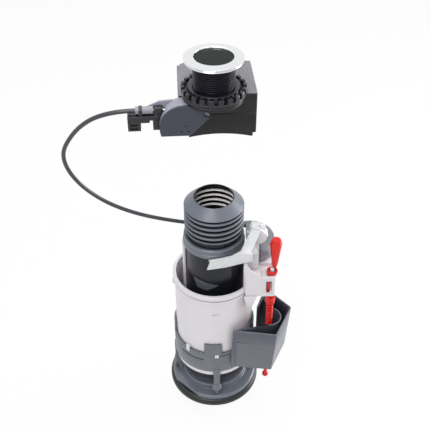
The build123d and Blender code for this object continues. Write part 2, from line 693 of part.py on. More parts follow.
def bucket_plan(z):
    """Outer plan of the bucket at a height, with the pocket that opens towards the valve."""
    pocket_start, pocket_end = pocket_ends()
    corners = bucket_corners(z)
    outline = [
        Polyline(*corners, pocket_start),
        ThreePointArc(pocket_start, (ROD_X + POCKET_R, ROD_Y), pocket_end),
        Line(pocket_end, corners[0]),
    ]
    return Pos(0, 0, z) * make_face(outline)


def inner_corner(before, corner, after):
    """Corner moved in from both walls that meet there."""
    along = (Vector(*corner) - Vector(*before)).normalized()
    onward = (Vector(*after) - Vector(*corner)).normalized()
    side = Vector(-along.Y, along.X) + Vector(-onward.Y, onward.X)
    moved = Vector(*corner) + side * (BUCKET_WALL / (1 + along.dot(onward)))
    return moved.X, moved.Y


def bucket_space_plan(z):
    """Plan of the space inside the bucket's walls at a height, as far as the pocket's chord."""
    pocket_start, pocket_end = pocket_ends()
    chain = [pocket_end, *bucket_corners(z), pocket_start]
    inside = [inner_corner(*three) for three in zip(chain, chain[1:], chain[2:])]
    return Pos(0, 0, z) * polygon(*inside, pocket_start, pocket_end)


def is_outer_corner(edge):
    """Whether an edge is one of the bucket's tall corners away from the valve."""
    middle = edge @ 0.5
    tall = edge.length > 0.8 * (BUCKET_TOP - BUCKET_Z0)
    away = (middle - Vector(ROD_X, ROD_Y, middle.Z)).length > 1.6 * POCKET_R
    return tall and away and middle.X > ROD_X + 1


def float_bucket():
    """Open cup that wraps the rod, with a wing beside the body and an eye that grips the rod."""
    cup = loft([bucket_plan(BUCKET_Z0), bucket_plan(BUCKET_TOP)], ruled=True)
    cup = fillet([edge for edge in cup.edges() if is_outer_corner(edge)], BUCKET_CORNER_R)
    space = [bucket_space_plan(z) for z in (BUCKET_Z0 + BUCKET_WALL, BUCKET_TOP + OVERCUT)]
    pocket_wall = disc(POCKET_R + BUCKET_WALL, BUCKET_Z0, BUCKET_TOP + 2 * OVERCUT, ROD_X, ROD_Y)
    cup = cup - (loft(space, ruled=True) - pocket_wall)
    back_left = (ROD_X + BUCKET_TOP_CORNERS[-1][0], ROD_Y + BUCKET_TOP_CORNERS[-1][1])
    tip = (ROD_X + WING_TIP[0], ROD_Y + WING_TIP[1])
    tip_right = (tip[0] + BUCKET_WALL, tip[1] - 0.4)
    root_right = (back_left[0] + 2.0, back_left[1] - 1.2)
    wing = prism(polygon(back_left, tip, tip_right, root_right), BUCKET_Z0, BUCKET_TOP)
    eye = ring(EYE_R, RIDGE_R + SEAT_GAP, BUCKET_Z0, BUCKET_Z0 + EYE_H, ROD_X, ROD_Y)
    web = block(ROD_X + EYE_R - 1, ROD_X + POCKET_R + 0.5, ROD_Y - 2, ROD_Y + 2, BUCKET_Z0, BUCKET_Z0 + EYE_H)
    return fused(cup - bucket_step(), wing, eye, web)


def bucket_step():
    """Thin layer that leaves a proud band along the top of the bucket's front."""
    left = (ROD_X + BUCKET_TOP_CORNERS[1][0] + 4.0, ROD_Y + BUCKET_TOP_CORNERS[1][1] - 0.5)
    right = (ROD_X + BUCKET_TOP_CORNERS[2][0] + OVERCUT, ROD_Y + BUCKET_TOP_CORNERS[2][1])
    front_left = (left[0], left[1] - 8.0)
    front_right = (right[0], right[1] - 8.0)
    layer = polygon(left, front_left, front_right, (right[0], right[1] + BUCKET_STEP))
    return prism(layer, BUCKET_Z0 - OVERCUT, BUCKET_STEP_Z)


# Lift lever

def from_trunnion(corners):
    """Corners of a lever plate, moved to the trunnion's axis."""
    return [(PIVOT_X + x, PIVOT_Z + z) for x, z in corners]


def lever_ramp():
    """Sloping web from the blade up to the bracket."""
    foot_y = BLADE_Y - BLADE_T / 2
    head_y = CHEEK_PLACES[0] + LEVER_WALL / 2
    foot = [(x, foot_y, z) for x, z in from_trunnion(RAMP_FOOT)]
    head = [(x, head_y, z) for x, z in from_trunnion(RAMP_HEAD)]
    return extrude(polygon(*foot, *head), amount=LEVER_WALL, dir=(0, 0, -1))


def lift_lever():
    """Clear lever: a blade under the cuff, a trunnion, a wire arm and an open bracket above."""
    front = BLADE_Y - BLADE_T
    blade = plate(polygon(*from_trunnion(BLADE_CORNERS)), front, BLADE_Y)
    rib_top = TUBE_SHOULDER_Z - SEAT_GAP
    rib = block(RIB_X0, RIB_X1, BLADE_Y - 0.5, -TUBE_R - GUIDE_GAP, rib_top - BLADE_T, rib_top)
    link = block(LINK_X0, PIVOT_X - 1.0, front, LINK_Y1, PIVOT_Z - TRUNNION_R, PIVOT_Z + 3.6)
    trunnion = bar_y(TRUNNION_R, TRUNNION_Y0, TRUNNION_Y1, PIVOT_X, PIVOT_Z)
    cheek = polygon(*from_trunnion(CHEEK_CORNERS))
    cheeks = [plate(cheek, y, y + LEVER_WALL) for y in CHEEK_PLACES]
    bridge = plate(polygon(*from_trunnion(ROOF_CORNERS)), CHEEK_PLACES[0], CHEEK_PLACES[1] + LEVER_WALL)
    loop_x, loop_z = from_trunnion([LOOP_PLACE])[0]
    loop = bar_y(LOOP_R, LOOP_Y0, LOOP_Y1, loop_x, loop_z)
    loop = loop - bar_y(LOOP_IN, LOOP_Y0 - OVERCUT, LOOP_Y1 + OVERCUT, loop_x, loop_z)
    half = WIRE_ARM_T / 2
    arm_y0 = VALVE_WIRE_Y - 1.2
    arm_y1 = VALVE_WIRE_Y + 1.2
    wire_arm = block(PIVOT_X - half, PIVOT_X + half, arm_y0, arm_y1, VALVE_WIRE_Z - 2.6, PIVOT_Z)
    return fused(trunnion, link, blade, rib, lever_ramp(), *cheeks, bridge, loop, wire_arm)


# Cable and its fittings at the valve

def guide_plan(inset):
    """Plan of the cable guide, or of the space inside its walls."""
    reach = 2 * GUIDE_R
    round_plan = Pos(GUIDE_X, GUIDE_Y) * Circle(GUIDE_R - inset)
    beside_tube = Pos(GUIDE_X0 + inset - reach, GUIDE_Y) * Rectangle(2 * reach, 2 * reach)
    lever_corner = Pos(GUIDE_FRONT_X + inset - reach, GUIDE_FRONT_Y + inset - reach)
    beside_lever = lever_corner * Rectangle(2 * reach, 2 * reach)
    return round_plan - beside_tube - beside_lever


def cable_guide():
    """Smoky half-round cover that turns the push wire back towards the lever."""
    cover = prism(guide_plan(0), COLUMN_LEDGE_Z, GUIDE_TOP)
    cover = fillet(cover.edges().group_by(Axis.Z)[-1].filter_by(GeomType.CIRCLE), 1.0)
    inside = prism(guide_plan(GUIDE_WALL), COLUMN_LEDGE_Z - OVERCUT, GUIDE_TOP - GUIDE_WALL)
    boss_x1 = GUIDE_FRONT_X + 8
    y0 = VALVE_WIRE_Y - 3
    y1 = VALVE_WIRE_Y + 3
    boss = block(GUIDE_FRONT_X - 2, boss_x1, y0, y1, VALVE_WIRE_Z - 3, GUIDE_TOP - 1)
    exit_bore = bar_x(WIRE_BORE_R, GUIDE_FRONT_X - 4, boss_x1 + 1, VALVE_WIRE_Y, VALVE_WIRE_Z)
    entry_bore = bar_x(WIRE_BORE_R, GUIDE_X0 - 1, GUIDE_X0 + GUIDE_WALL + 1, ENTRY_Y, VALVE_WIRE_Z)
    return cover - inside + boss - exit_bore - entry_bore


def cable_ferrule_valve():
    """Crimped end of the cable sheath, against the cable guide."""
    barrel = bar_x(FERRULE_R, ENTRY_X, GUIDE_X0, ENTRY_Y, VALVE_WIRE_Z)
    return barrel - bar_x(WIRE_BORE_R, ENTRY_X + 1, GUIDE_X0 + 1, ENTRY_Y, VALVE_WIRE_Z)


def push_wire_valve():
    """Bare end of the push wire with the ball that pushes the lever's wire arm."""
    ball_x = PIVOT_X + WIRE_ARM_T / 2 + SEAT_GAP + WIRE_BALL_R
    wire = bar_x(WIRE_R, ball_x, GUIDE_FRONT_X + 7.5, VALVE_WIRE_Y, VALVE_WIRE_Z)
    return wire + Pos(ball_x, VALVE_WIRE_Y, VALVE_WIRE_Z) * Sphere(WIRE_BALL_R)


def cable_radii(route):
    """Largest arc that the two runs at each corner allow."""
    points = [Vector(*p) for p in route]
    radii = []
    for before, corner, after in zip(points, points[1:], points[2:]):
        turn = radians((corner - before).get_angle(after - corner))
        shorter = min((corner - before).length, (after - corner).length)
        radii.append(0.45 * shorter / tan(turn / 2))
    return radii


def cable_sheath():
    """Free cable between the two ferrules."""
    path = FilletPolyline(*CABLE_ROUTE, radius=cable_radii(CABLE_ROUTE))
    section = Plane(origin=path @ 0, z_dir=path % 0) * Circle(SHEATH_R)
    sheath = sweep(section, path=path)
    print("cable length", round(path.length, 1))
    return sheath


# Sensor unit

def box_plan():
    """Plan of the sensor housing, with one cut corner at the back."""
    cut_back = (BOX_X0 + BOX_CHAMFER, BOX_Y1)
    cut_left = (BOX_X0, BOX_Y1 - BOX_CHAMFER)
    return polygon((BOX_X0, BOX_Y0), (BOX_X1, BOX_Y0), (BOX_X1, BOX_Y1), cut_back, cut_left)


def box_shell(z0, z1):
    """Outer block and inner space of one half of the housing."""
    outer = prism(fillet(box_plan().vertices(), BOX_EDGE), z0, z1)
    inner = prism(offset(box_plan(), -BOX_WALL, kind=Kind.INTERSECTION), z0, z1)
    return outer, inner


def seam_groove():
    """Shallow groove all round, where the housing's halves meet."""
    z0 = BOX_SEAM - SEAM_GROOVE / 2
    z1 = BOX_SEAM + SEAM_GROOVE / 2
    around = prism(offset(box_plan(), OVERCUT, kind=Kind.INTERSECTION), z0, z1)
    return around - prism(offset(box_plan(), -SEAM_GROOVE, kind=Kind.INTERSECTION), z0, z1)


def shaft_hole():
    """Room for the drive shaft through the housing's front wall."""
    return bar_y(SHAFT_R + SEAT_GAP, BOX_Y0 - OVERCUT, BOX_Y0 + BOX_WALL + OVERCUT, DRIVE_X, DRIVE_Z)


def housing_cover():
    """Upper half of the sensor housing, with the round lobe that carries the barrel."""
    outer, _ = box_shell(BOX_SEAM, BOX_TOP)
    _, inner = box_shell(BOX_SEAM - OVERCUT, BOX_TOP - BOX_WALL)
    lobe = disc(LOBE_R, BOX_TOP - LOBE_T, BOX_TOP)
    cable_way = disc(BARREL_IN - 3.0, BOX_TOP - LOBE_T - OVERCUT, BOX_TOP + OVERCUT)
    return SENSOR * (outer - inner - seam_groove() + lobe - cable_way - shaft_hole())


def housing_base():
    """Lower half of the sensor housing, on arched feet, with four screw bosses."""
    outer, _ = box_shell(BOX_Z0, BOX_SEAM)
    _, inner = box_shell(BOX_Z0 + BOX_WALL, BOX_SEAM + OVERCUT)
    base = outer - inner
    chord = (BOX_X1 - BOX_X0) / 2 - 5.0
    arch_r = (chord**2 + FOOT_H**2) / (2 * FOOT_H)
    middle = (BOX_X0 + BOX_X1) / 2
    for y0 in (BOX_Y0, BOX_Y1 - BOX_WALL):
        skirt = block(BOX_X0 + 8, BOX_X1 - 3, y0, y0 + BOX_WALL, BOX_Z0 - FOOT_H, BOX_Z0 + 0.5)
        arch = bar_y(arch_r, y0 - OVERCUT, y0 + BOX_WALL + OVERCUT, middle, BOX_Z0 - arch_r)
        base = base + (skirt - arch)
    for x, y in screw_places():
        base = base + ring(2.4, 1.2, BOX_Z0 + BOX_WALL - 0.5, BOX_SEAM - 1.0, x, y)
        base = base - disc(1.2, BOX_Z0 - OVERCUT, BOX_SEAM, x, y)
    return SENSOR * (base - seam_groove() - shaft_hole())


def screw_places():
    """Where the screws hold the housing's halves together."""
    inset = BOX_WALL + 2.7
    right = BOX_X1 - 2.6
    left = BOX_X0 + inset
    return [
        (right, BOX_Y0 + inset), (right, BOX_Y1 - inset),
        (left, BOX_Y1 - BOX_CHAMFER - inset), (left, TRAY_Y0 + 4.0),
    ]


def housing_screws():
    """Four screws up through the base."""
    screws = []
    for x, y in screw_places():
        head = disc(2.2, BOX_Z0 - 1.4, BOX_Z0, x, y)
        screws.append(SENSOR * (head + disc(1.2 - FIT_GAP, BOX_Z0 - 0.5, BOX_SEAM - 3.0, x, y)))
    return Compound(children=screws)


def cell_places():
    """Axes of the four cells, as depth and height."""
    y0 = TRAY_Y0 + TRAY_WALL + CELL_GAP + CELL_R
    z0 = BOX_Z0 + BOX_WALL + TRAY_WALL + CELL_GAP + CELL_R
    step = 2 * CELL_R + CELL_GAP
    return [(y0, z0), (y0 + step, z0), (y0, z0 + step), (y0 + step, z0 + step)]


def battery(number):
    """AA cell along X."""
    y, z = cell_places()[number]
    x0 = TRAY_X0 + TRAY_WALL + CONTACT_T
    cell = bar_x(CELL_R, x0, x0 + CELL_L, y, z)
    return SENSOR * (cell + bar_x(CELL_NUB_R, x0 + CELL_L - 0.5, x0 + CELL_L + CELL_NUB_L, y, z))


def battery_tray():
    """Open tray for the lower pair of cells."""
    wall = TRAY_WALL
    y1 = TRAY_Y0 + 4 * CELL_R + 3 * CELL_GAP + 2 * wall
    z0 = BOX_Z0 + BOX_WALL
    z1 = z0 + TRAY_H
    tray = block(TRAY_X0, TRAY_X1, TRAY_Y0, y1, z0, z1)
    room = block(TRAY_X0 + wall, TRAY_X1 - wall, TRAY_Y0 + wall, y1 - wall, z0 + wall, z1 + OVERCUT)
    return SENSOR * (tray - room)


def battery_contacts():
    """Tinned plates at both ends of the cells."""
    places = cell_places()
    x0 = TRAY_X0 + TRAY_WALL
    x1 = x0 + CONTACT_T + CELL_L + CELL_NUB_L
    plates = []
    for x in (x0, x1):
        for y, z in places[:2]:
            plates.append(SENSOR * block(x, x + CONTACT_T, y - 4.5, y + 4.5, z - 5.0, z + 2 * CELL_R + 5.0))
    return Compound(children=plates)


def circuit_board():
    """Control board on the tray's front wall and the housing's bosses."""
    z0 = BOX_SEAM - 1.0
    return SENSOR * block(-14.0, BOX_X1 - BOX_WALL - 0.5, 3.5, TRAY_Y0 - 0.6, z0, z0 + BOARD_T)


def threaded_barrel():
    """Clamping barrel through the cistern lid, with a ledge for the sensor board."""
    ledge_z = SENSOR_BOARD_Z
    ledge_r = BARREL_IN - LEDGE_W
    return turned(
        (BARREL_IN, BOX_TOP), (BARREL_R, BOX_TOP), (BARREL_R, BARREL_TOP), (BARREL_IN, BARREL_TOP),
        (BARREL_IN, ledge_z), (ledge_r, ledge_z), (ledge_r, ledge_z - LEDGE_W),
        (BARREL_IN, ledge_z - 2 * LEDGE_W),
    )


def lock_nut():
    """Castellated nut that clamps the lid from below."""
    z0 = BOX_TOP + NUT_LIFT
    top = z0 + NUT_H
    bore = BARREL_R + RUNNING
    nut = ring(NUT_HUB_R, bore, z0, top) + ring(NUT_R, bore, z0, z0 + NUT_FLOOR)
    for tooth in range(NUT_TEETH):
        start = tooth * 360 / NUT_TEETH
        end = start + NUT_TOOTH_ANGLE
        nut = nut + sector(NUT_R, NUT_R - NUT_TOOTH_T, start, end, z0 + NUT_FLOOR / 2, top)
    return nut


def bezel_ring():
    """Domed chrome ring that rests on the lid."""
    z0 = BARREL_TOP
    top = z0 + BEZEL_H
    edge = [
        Polyline(
            (BEZEL_IN + BEZEL_EDGE, top), (BEZEL_IN, top - BEZEL_EDGE), (BEZEL_IN, z0),
            (BEZEL_R - BEZEL_EDGE, z0), (BEZEL_R, z0 + BEZEL_EDGE),
        ),
        Line((BEZEL_R, z0 + BEZEL_EDGE), (BEZEL_R, z0 + 2 * BEZEL_EDGE)),
        ThreePointArc(
            (BEZEL_R, z0 + 2 * BEZEL_EDGE), (BEZEL_IN + 0.62 * (BEZEL_R - BEZEL_IN), z0 + 0.76 * BEZEL_H),
            (BEZEL_IN + BEZEL_EDGE, top),
        ),
    ]
    return revolve(Plane.XZ * make_face(edge), axis=Axis.Z)


def sensor_window():
    """Dark window that the sensor looks through."""
    pane = disc(BEZEL_IN - FIT_GAP, BARREL_TOP, BARREL_TOP + WINDOW_H)
    return fillet(pane.edges().group_by(Axis.Z)[-1], 0.6)


def sensor_board():
    """Round board that carries the emitter and the receiver."""
    return disc(BARREL_IN - FIT_GAP, SENSOR_BOARD_Z, SENSOR_BOARD_Z + BOARD_T)


def infrared_eye(x):
    """Domed infrared diode on the sensor board."""
    z0 = SENSOR_BOARD_Z + BOARD_T
    straight = 4.5
    return disc(EYE_LED_R, z0, z0 + straight, x) + Pos(x, 0, z0 + straight) * Sphere(EYE_LED_R)


# Drive

def drum_face(inset=0.0):
    """Outline of the drive's casing: round above, with a point towards the right."""
    radius = CASING_R - inset
    floor_z = CASING_Z0 + inset
    drop = CASING_Z - floor_z
    left = (CASING_X - (radius**2 - drop**2) ** 0.5, floor_z)
    crown = (CASING_X, CASING_Z + radius)
    right = (CASING_X + radius * cos(radians(33)), CASING_Z + radius * sin(radians(33)))
    tip = (CASING_X + CASING_TIP[0] - 1.6 * inset, CASING_Z + CASING_TIP[1] - 0.3 * inset)
    heel = (CASING_X + CASING_HEEL[0] - inset, CASING_Z + CASING_HEEL[1] + inset)
    foot = (CASING_X + CASING_FOOT - 0.6 * inset, floor_z)
    return make_face([ThreePointArc(left, crown, right), Polyline(right, tip, heel, foot, left)])


def lobe_room():
    """Space that the housing's round lobe takes above the drive."""
    return disc(LOBE_R + FIT_GAP, BOX_TOP - LOBE_T - FIT_GAP, BOX_TOP + OVERCUT)


def drum_housing():
    """Casing of the drive, open to the front, with a gusset beside the cable arm."""
    casing = plate(drum_face(), DRUM_FRONT, BOX_Y0)
    room = plate(drum_face(DRUM_WALL), DRUM_FRONT - OVERCUT, BOX_Y0 - DRUM_WALL)
    gusset = polygon(*[(CASING_X + x, CASING_Z + z) for x, z in DRIVE_GUSSET])
    casing = casing - room + (plate(gusset, GUSSET_Y, BOX_Y0) - room)
    wire_way = bar_x(WIRE_BORE_R + 0.6, ARM_X1 - 6.0, ARM_X1 + 8.0, DRIVE_Y, SENSOR_WIRE_Z)
    return SENSOR * (casing - wire_way - shaft_hole() - lobe_room())


def drum_cover():
    """Flat cover of the drive, with moulded marks."""
    front = DRUM_FRONT - COVER_T
    cover = plate(drum_face(), front, DRUM_FRONT)
    cover = fillet(cover.edges().group_by(Axis.Y)[0], 0.5)
    outside = front - OVERCUT
    for x in MARK_PLACES:
        cover = cover - bar_y(MARK_R, outside, front + COVER_T / 2, CASING_X + x, CASING_Z - MARK_DROP)
    dash_z = CASING_Z + DASH_UP
    dash = block(CASING_X + DASH_X0, CASING_X + DASH_X1, outside, front + 0.8, dash_z, dash_z + DASH_H)
    wedge_x = CASING_X + WEDGE_PLACE[0]
    wedge_z = CASING_Z + WEDGE_PLACE[1]
    wedge_top = wedge_z + WEDGE_H
    wedge = polygon((wedge_x - WEDGE_H, wedge_top), (wedge_x + 0.8 * WEDGE_H, wedge_top), (wedge_x, wedge_z))
    cover = cover - dash - plate(wedge, outside, front + 1.2)
    pin = bar_y(MARK_R, front - 0.8, front + 1.0, CASING_X + PIN_PLACE[0], CASING_Z + PIN_PLACE[1])
    return SENSOR * (cover + pin - lobe_room())


def drive_shaft():
    """Output shaft of the gear motor."""
    return SENSOR * bar_y(SHAFT_R, DRUM_FRONT + 1.5, BOX_Y0 + BOX_WALL + 6.0, DRIVE_X, DRIVE_Z)


def cable_quadrant():
    """Grooved sector on the drive shaft that pushes the wire."""
    y0 = DRIVE_Y - 3.2
    y1 = DRIVE_Y + 3.2
    rim = WIRE_TURN_R + 1.6
    spread = radians(QUADRANT_HALF_ANGLE)
    side = 2 * rim * sin(spread)
    reach = 2 * rim * cos(spread)
    wedge = polygon((0, 0), (side, reach), (-side, reach))
    sweep_room = plate(Pos(DRIVE_X, DRIVE_Z) * wedge, y0, y1)
    groove = bar_y(rim + 1, DRIVE_Y - 1.2, DRIVE_Y + 1.2, DRIVE_X, DRIVE_Z)
    groove = groove - bar_y(WIRE_TURN_R - WIRE_R - FIT_GAP, DRIVE_Y - 2, DRIVE_Y + 2, DRIVE_X, DRIVE_Z)
    segment = (bar_y(rim, y0, y1, DRIVE_X, DRIVE_Z) & sweep_room) - groove
    hub = bar_y(4.0, y0, y1, DRIVE_X, DRIVE_Z)
    return SENSOR * (segment + hub - bar_y(SHAFT_R, y0 - 1, y1 + 1, DRIVE_X, DRIVE_Z))


def gear_motor():
    """Sealed gear motor against the housing's front wall."""
    y0 = BOX_Y0 + BOX_WALL
    can_y = y0 + GEARBOX_L
    back = y0 + MOTOR_L
    half_w = MOTOR_W / 2
    half_h = MOTOR_H / 2
    gearbox = block(DRIVE_X - half_w, DRIVE_X + half_w, y0, can_y, DRIVE_Z - half_h, DRIVE_Z + half_h)
    can = bar_y(half_h, can_y, back, DRIVE_X, DRIVE_Z)
    flats = block(DRIVE_X - half_w, DRIVE_X + half_w, can_y, back, DRIVE_Z - half_h, DRIVE_Z + half_h)
    return SENSOR * (gearbox + (can & flats) - bar_y(SHAFT_R + RUNNING, y0 - 1, y0 + 7.0, DRIVE_X, DRIVE_Z))


def cable_arm():
    """Black rail that carries the cable's end, with an end block and a wire guide."""
    rail = block(ARM_X0, ARM_X1, ARM_Y0, ARM_Y1, ARM_Z0, ARM_TOP)
    end_block = block(ARM_X0, ARM_X0 + 11, ARM_Y0, ARM_Y1, ARM_Z0 - 7.8, ARM_TOP)
    foot = block(ARM_FOOT_X, ARM_X1, ARM_Y0, ARM_Y1, ARM_Z0 - 7.2, ARM_TOP)
    outside = ARM_Y0 - OVERCUT
    notch_z1 = ARM_Z0 + 2.2
    notch = block(ARM_FOOT_X - 2.6, ARM_FOOT_X, outside, ARM_Y1 + OVERCUT, ARM_Z0 - OVERCUT, notch_z1)
    windows = [
        block(ARM_X0 + 2.4, ARM_X0 + 8.6, outside, ARM_Y0 + 2.0, z, z + 1.9)
        for z in (ARM_Z0 - 6.3, ARM_Z0 - 2.9)
    ]
    guide_top = SENSOR_WIRE_Z + 3.0
    wire_guide = block(FERRULE_X1 + 0.5, ARM_X1, DRIVE_Y - 3.0, DRIVE_Y + 3.0, ARM_TOP - 1, guide_top)
    arm = fused(rail, end_block, foot, wire_guide) - notch
    for window in windows:
        arm = arm - window
    arm = arm - bar_x(WIRE_BORE_R + 0.3, FERRULE_X1, ARM_X1, DRIVE_Y, SENSOR_WIRE_Z)
    return SENSOR * (arm - plate(drum_face(-FIT_GAP), DRUM_FRONT - COVER_T, BOX_Y0))


def cable_clip():
    """Thin sprung strap that holds the ferrule down on the arm."""
    inner = FERRULE_R + FIT_GAP
    outer = inner + 0.8
    x0 = FERRULE_X0 + CLIP_PLACE
    x1 = x0 + CLIP_W
    hoop = bar_x(outer, x0, x1, DRIVE_Y, SENSOR_WIRE_Z)
    legs = block(x0, x1, DRIVE_Y - outer, DRIVE_Y + inner, ARM_TOP, SENSOR_WIRE_Z)
    way = bar_x(inner, x0 - 1, x1 + 1, DRIVE_Y, SENSOR_WIRE_Z)
    under = block(x0 - 1, x1 + 1, DRIVE_Y - inner, DRIVE_Y + 2 * outer, ARM_TOP - OVERCUT, SENSOR_WIRE_Z)
    strap = hoop + legs - way - under
    strap = strap - block(x0 - 1, x1 + 1, -20, 5, ARM_TOP - 9, ARM_TOP)
    return SENSOR * (strap - block(x0 - 1, x1 + 1, ARM_Y1, 5, ARM_TOP - 9, SENSOR_WIRE_Z + 9))


def cable_ferrule_sensor():
    """Crimped end of the cable sheath on the arm."""
    barrel = bar_x(FERRULE_R, FERRULE_X0, FERRULE_X1, DRIVE_Y, SENSOR_WIRE_Z)
    return SENSOR * (barrel - bar_x(WIRE_BORE_R, FERRULE_X0 + 0.5, FERRULE_X1 + 1, DRIVE_Y, SENSOR_WIRE_Z))


def push_wire_sensor():
    """Bare end of the push wire, from the ferrule to the top of the quadrant."""
    return SENSOR * bar_x(WIRE_R, FERRULE_X0 + 7.0, DRIVE_X, DRIVE_Y, SENSOR_WIRE_Z)


PIECES = {
    "base_washer": base_washer(),
    "valve_base": valve_base(),
    "bayonet_collar": bayonet_collar(),
    "valve_body": valve_body(),
    "overflow_tube": overflow_tube(),
    "main_seal": main_seal(),
    "seal_retainer": seal_retainer(),
    "tube_cuff": tube_cuff(),
    "overflow_bellows": overflow_bellows(),
    "float_column": float_column(),
    "adjuster_rod": adjuster_rod(),
    "float_bucket": float_bucket(),
    "lift_lever": lift_lever(),
    "cable_guide": cable_guide(),
    "cable_ferrule_valve": cable_ferrule_valve(),
    "push_wire_valve": push_wire_valve(),
    "cable_sheath": cable_sheath(),
    "cable_ferrule_sensor": cable_ferrule_sensor(),
    "push_wire_sensor": push_wire_sensor(),
    "cable_arm": cable_arm(),
    "cable_clip": cable_clip(),
    "drum_housing": drum_housing(),
    "drum_cover": drum_cover(),
    "drive_shaft": drive_shaft(),
    "cable_quadrant": cable_quadrant(),
    "gear_motor": gear_motor(),
    "housing_cover": housing_cover(),
    "housing_base": housing_base(),
    "housing_screws": housing_screws(),
    "battery_tray": battery_tray(),
    "battery_1": battery(0),
    "battery_2": battery(1),
    "battery_3": battery(2),
    "battery_4": battery(3),
    "battery_contacts": battery_contacts(),
    "circuit_board": circuit_board(),
    "threaded_barrel": threaded_barrel(),
    "lock_nut": lock_nut(),
    "bezel_ring": bezel_ring(),
    "sensor_window": sensor_window(),
    "sensor_board": sensor_board(),
    "ir_emitter": infrared_eye(-EYE_LED_X),
    "ir_receiver": infrared_eye(EYE_LED_X),
}

os.makedirs("parts", exist_ok=True)
for node, piece in PIECES.items():
    export_step(piece, f"parts/{node}.step")
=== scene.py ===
# %% [markdown]
# # A touch-free flush valve
# The set has two ends joined by a cable: a tall flush valve that stands on the cistern floor, and a sensor unit
# that hangs under the cistern lid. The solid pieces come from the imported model, which is the fixed frame of this
# lesson. Here they get their finishes. Pieces whose look depends on fine form are modelled again: the cable, the
# barrel's thread, the bellows and its rings, the bezel, the beaded rod, the shell's rim and the moulded edges.

# %% Load the frame
import json
import math

import bpy
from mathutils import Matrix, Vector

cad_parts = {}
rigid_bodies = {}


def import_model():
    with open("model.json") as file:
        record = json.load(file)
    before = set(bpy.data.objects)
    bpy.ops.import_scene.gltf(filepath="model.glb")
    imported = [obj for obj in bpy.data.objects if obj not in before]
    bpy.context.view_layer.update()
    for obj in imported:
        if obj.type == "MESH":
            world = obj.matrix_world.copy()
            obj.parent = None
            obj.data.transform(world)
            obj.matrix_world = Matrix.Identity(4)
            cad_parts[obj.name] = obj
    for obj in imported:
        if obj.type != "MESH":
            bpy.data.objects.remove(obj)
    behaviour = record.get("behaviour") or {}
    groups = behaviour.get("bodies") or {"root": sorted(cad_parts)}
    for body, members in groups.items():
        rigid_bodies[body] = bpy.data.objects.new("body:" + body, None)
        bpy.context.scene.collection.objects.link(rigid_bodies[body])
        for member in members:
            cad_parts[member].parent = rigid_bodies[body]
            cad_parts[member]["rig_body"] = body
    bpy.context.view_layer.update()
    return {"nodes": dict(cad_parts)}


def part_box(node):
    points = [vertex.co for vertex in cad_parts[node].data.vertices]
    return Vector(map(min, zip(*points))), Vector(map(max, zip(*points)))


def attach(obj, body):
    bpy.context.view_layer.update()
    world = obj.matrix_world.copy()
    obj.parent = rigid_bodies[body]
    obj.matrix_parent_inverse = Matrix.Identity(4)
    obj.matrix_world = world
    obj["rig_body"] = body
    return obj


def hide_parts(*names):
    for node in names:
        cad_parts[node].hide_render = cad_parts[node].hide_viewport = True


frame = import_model()
nodes = frame["nodes"]
MM = 0.001
bpy.ops.object.select_all(action="DESELECT")

# %% [markdown]
# ## Camera
# The picture looks down at the valve from in front, about 39 degrees above the horizon, from close enough that
# upright edges lean outwards towards the top. The camera could be moved about by eye until it fits. Here its place
# is worked out from the tilt, the distance and the point that it looks at, because each can then be changed alone.

# %% Camera at the picture's view
VIEW_TILT = math.radians(38.94)
VIEW_DISTANCE = 685.2 * MM
VIEW_AIM = (1.0 * MM, 0.0, 235.6 * MM)
LENS_MM, SENSOR_MM, NEAREST = 59.5, 36.0, 10 * MM
bpy.ops.object.camera_add(
    location=(
        VIEW_AIM[0],
        -VIEW_DISTANCE * math.cos(VIEW_TILT),
        VIEW_AIM[2] + VIEW_DISTANCE * math.sin(VIEW_TILT),
    ),
    rotation=(math.pi / 2 - VIEW_TILT, 0, 0),
)
camera = bpy.context.active_object
camera.name = "camera"
camera.data.lens = LENS_MM
camera.data.sensor_width = SENSOR_MM
camera.data.clip_start = NEAREST
bpy.context.scene.camera = camera
bpy.context.scene.view_settings.view_transform = "Standard"
print("camera", [round(v, 4) for v in camera.location])

# %% [markdown]
# ## The cable
# A push-pull cable is a steel wire in a stiff plastic sheath. It leaves the sensor's ferrule straight, swings out to
# the left in one wide arc and comes back behind the valve to the cable guide. It could be a tube along straight
# pieces, but that would kink. A NURBS curve with a round bevel is smooth all along, because its control points only
# pull at it. The curve's box counts the radius that each point carries, so the points hold the cable's own radius
# and the bevel multiplies it by one.

# %% Cable curve
CABLE_WIDTH = 4.0 * MM
CABLE_ORDER, STEPS_A_SPAN, BEVEL_STEPS = 3, 16, 6
CABLE_POINTS_MM = [
    (-66.418, -10.659, 357.5), (-78.988, -11.538, 357.5), (-97.7, -9.5, 351.9), (-111.2, -5.0, 342.5),
    (-123.2, 0.0, 329.5), (-133.7, 5.0, 313.0), (-137.9, 8.0, 301.9), (-139.0, 11.0, 290.3), (-136.4, 15.0, 274.7),
    (-128.6, 20.0, 256.2), (-115.9, 24.0, 239.5), (-100.9, 28.0, 225.3), (-81.0, 31.0, 213.4), (-60.2, 33.5, 204.9),
    (-33.0, 35.2, 197.9), (-7.0, 35.5, 194.5), (18.0, 35.5, 194.5),
]
cable_line = bpy.data.curves.new("cable", "CURVE")
cable_line.dimensions = "3D"
cable_spline = cable_line.splines.new("NURBS")
cable_spline.points.add(len(CABLE_POINTS_MM) - 1)
for control, point in zip(cable_spline.points, CABLE_POINTS_MM):
    control.co = (*[value * MM for value in point], 1.0)
    control.radius = CABLE_WIDTH / 2
cable_spline.order_u = CABLE_ORDER
cable_spline.use_endpoint_u = True
cable_spline.resolution_u = STEPS_A_SPAN
cable_line.bevel_depth = 1.0
cable_line.bevel_resolution = BEVEL_STEPS
cable_line.use_fill_caps = True
cable = bpy.data.objects.new("cable", cable_line)
bpy.context.scene.collection.objects.link(cable)
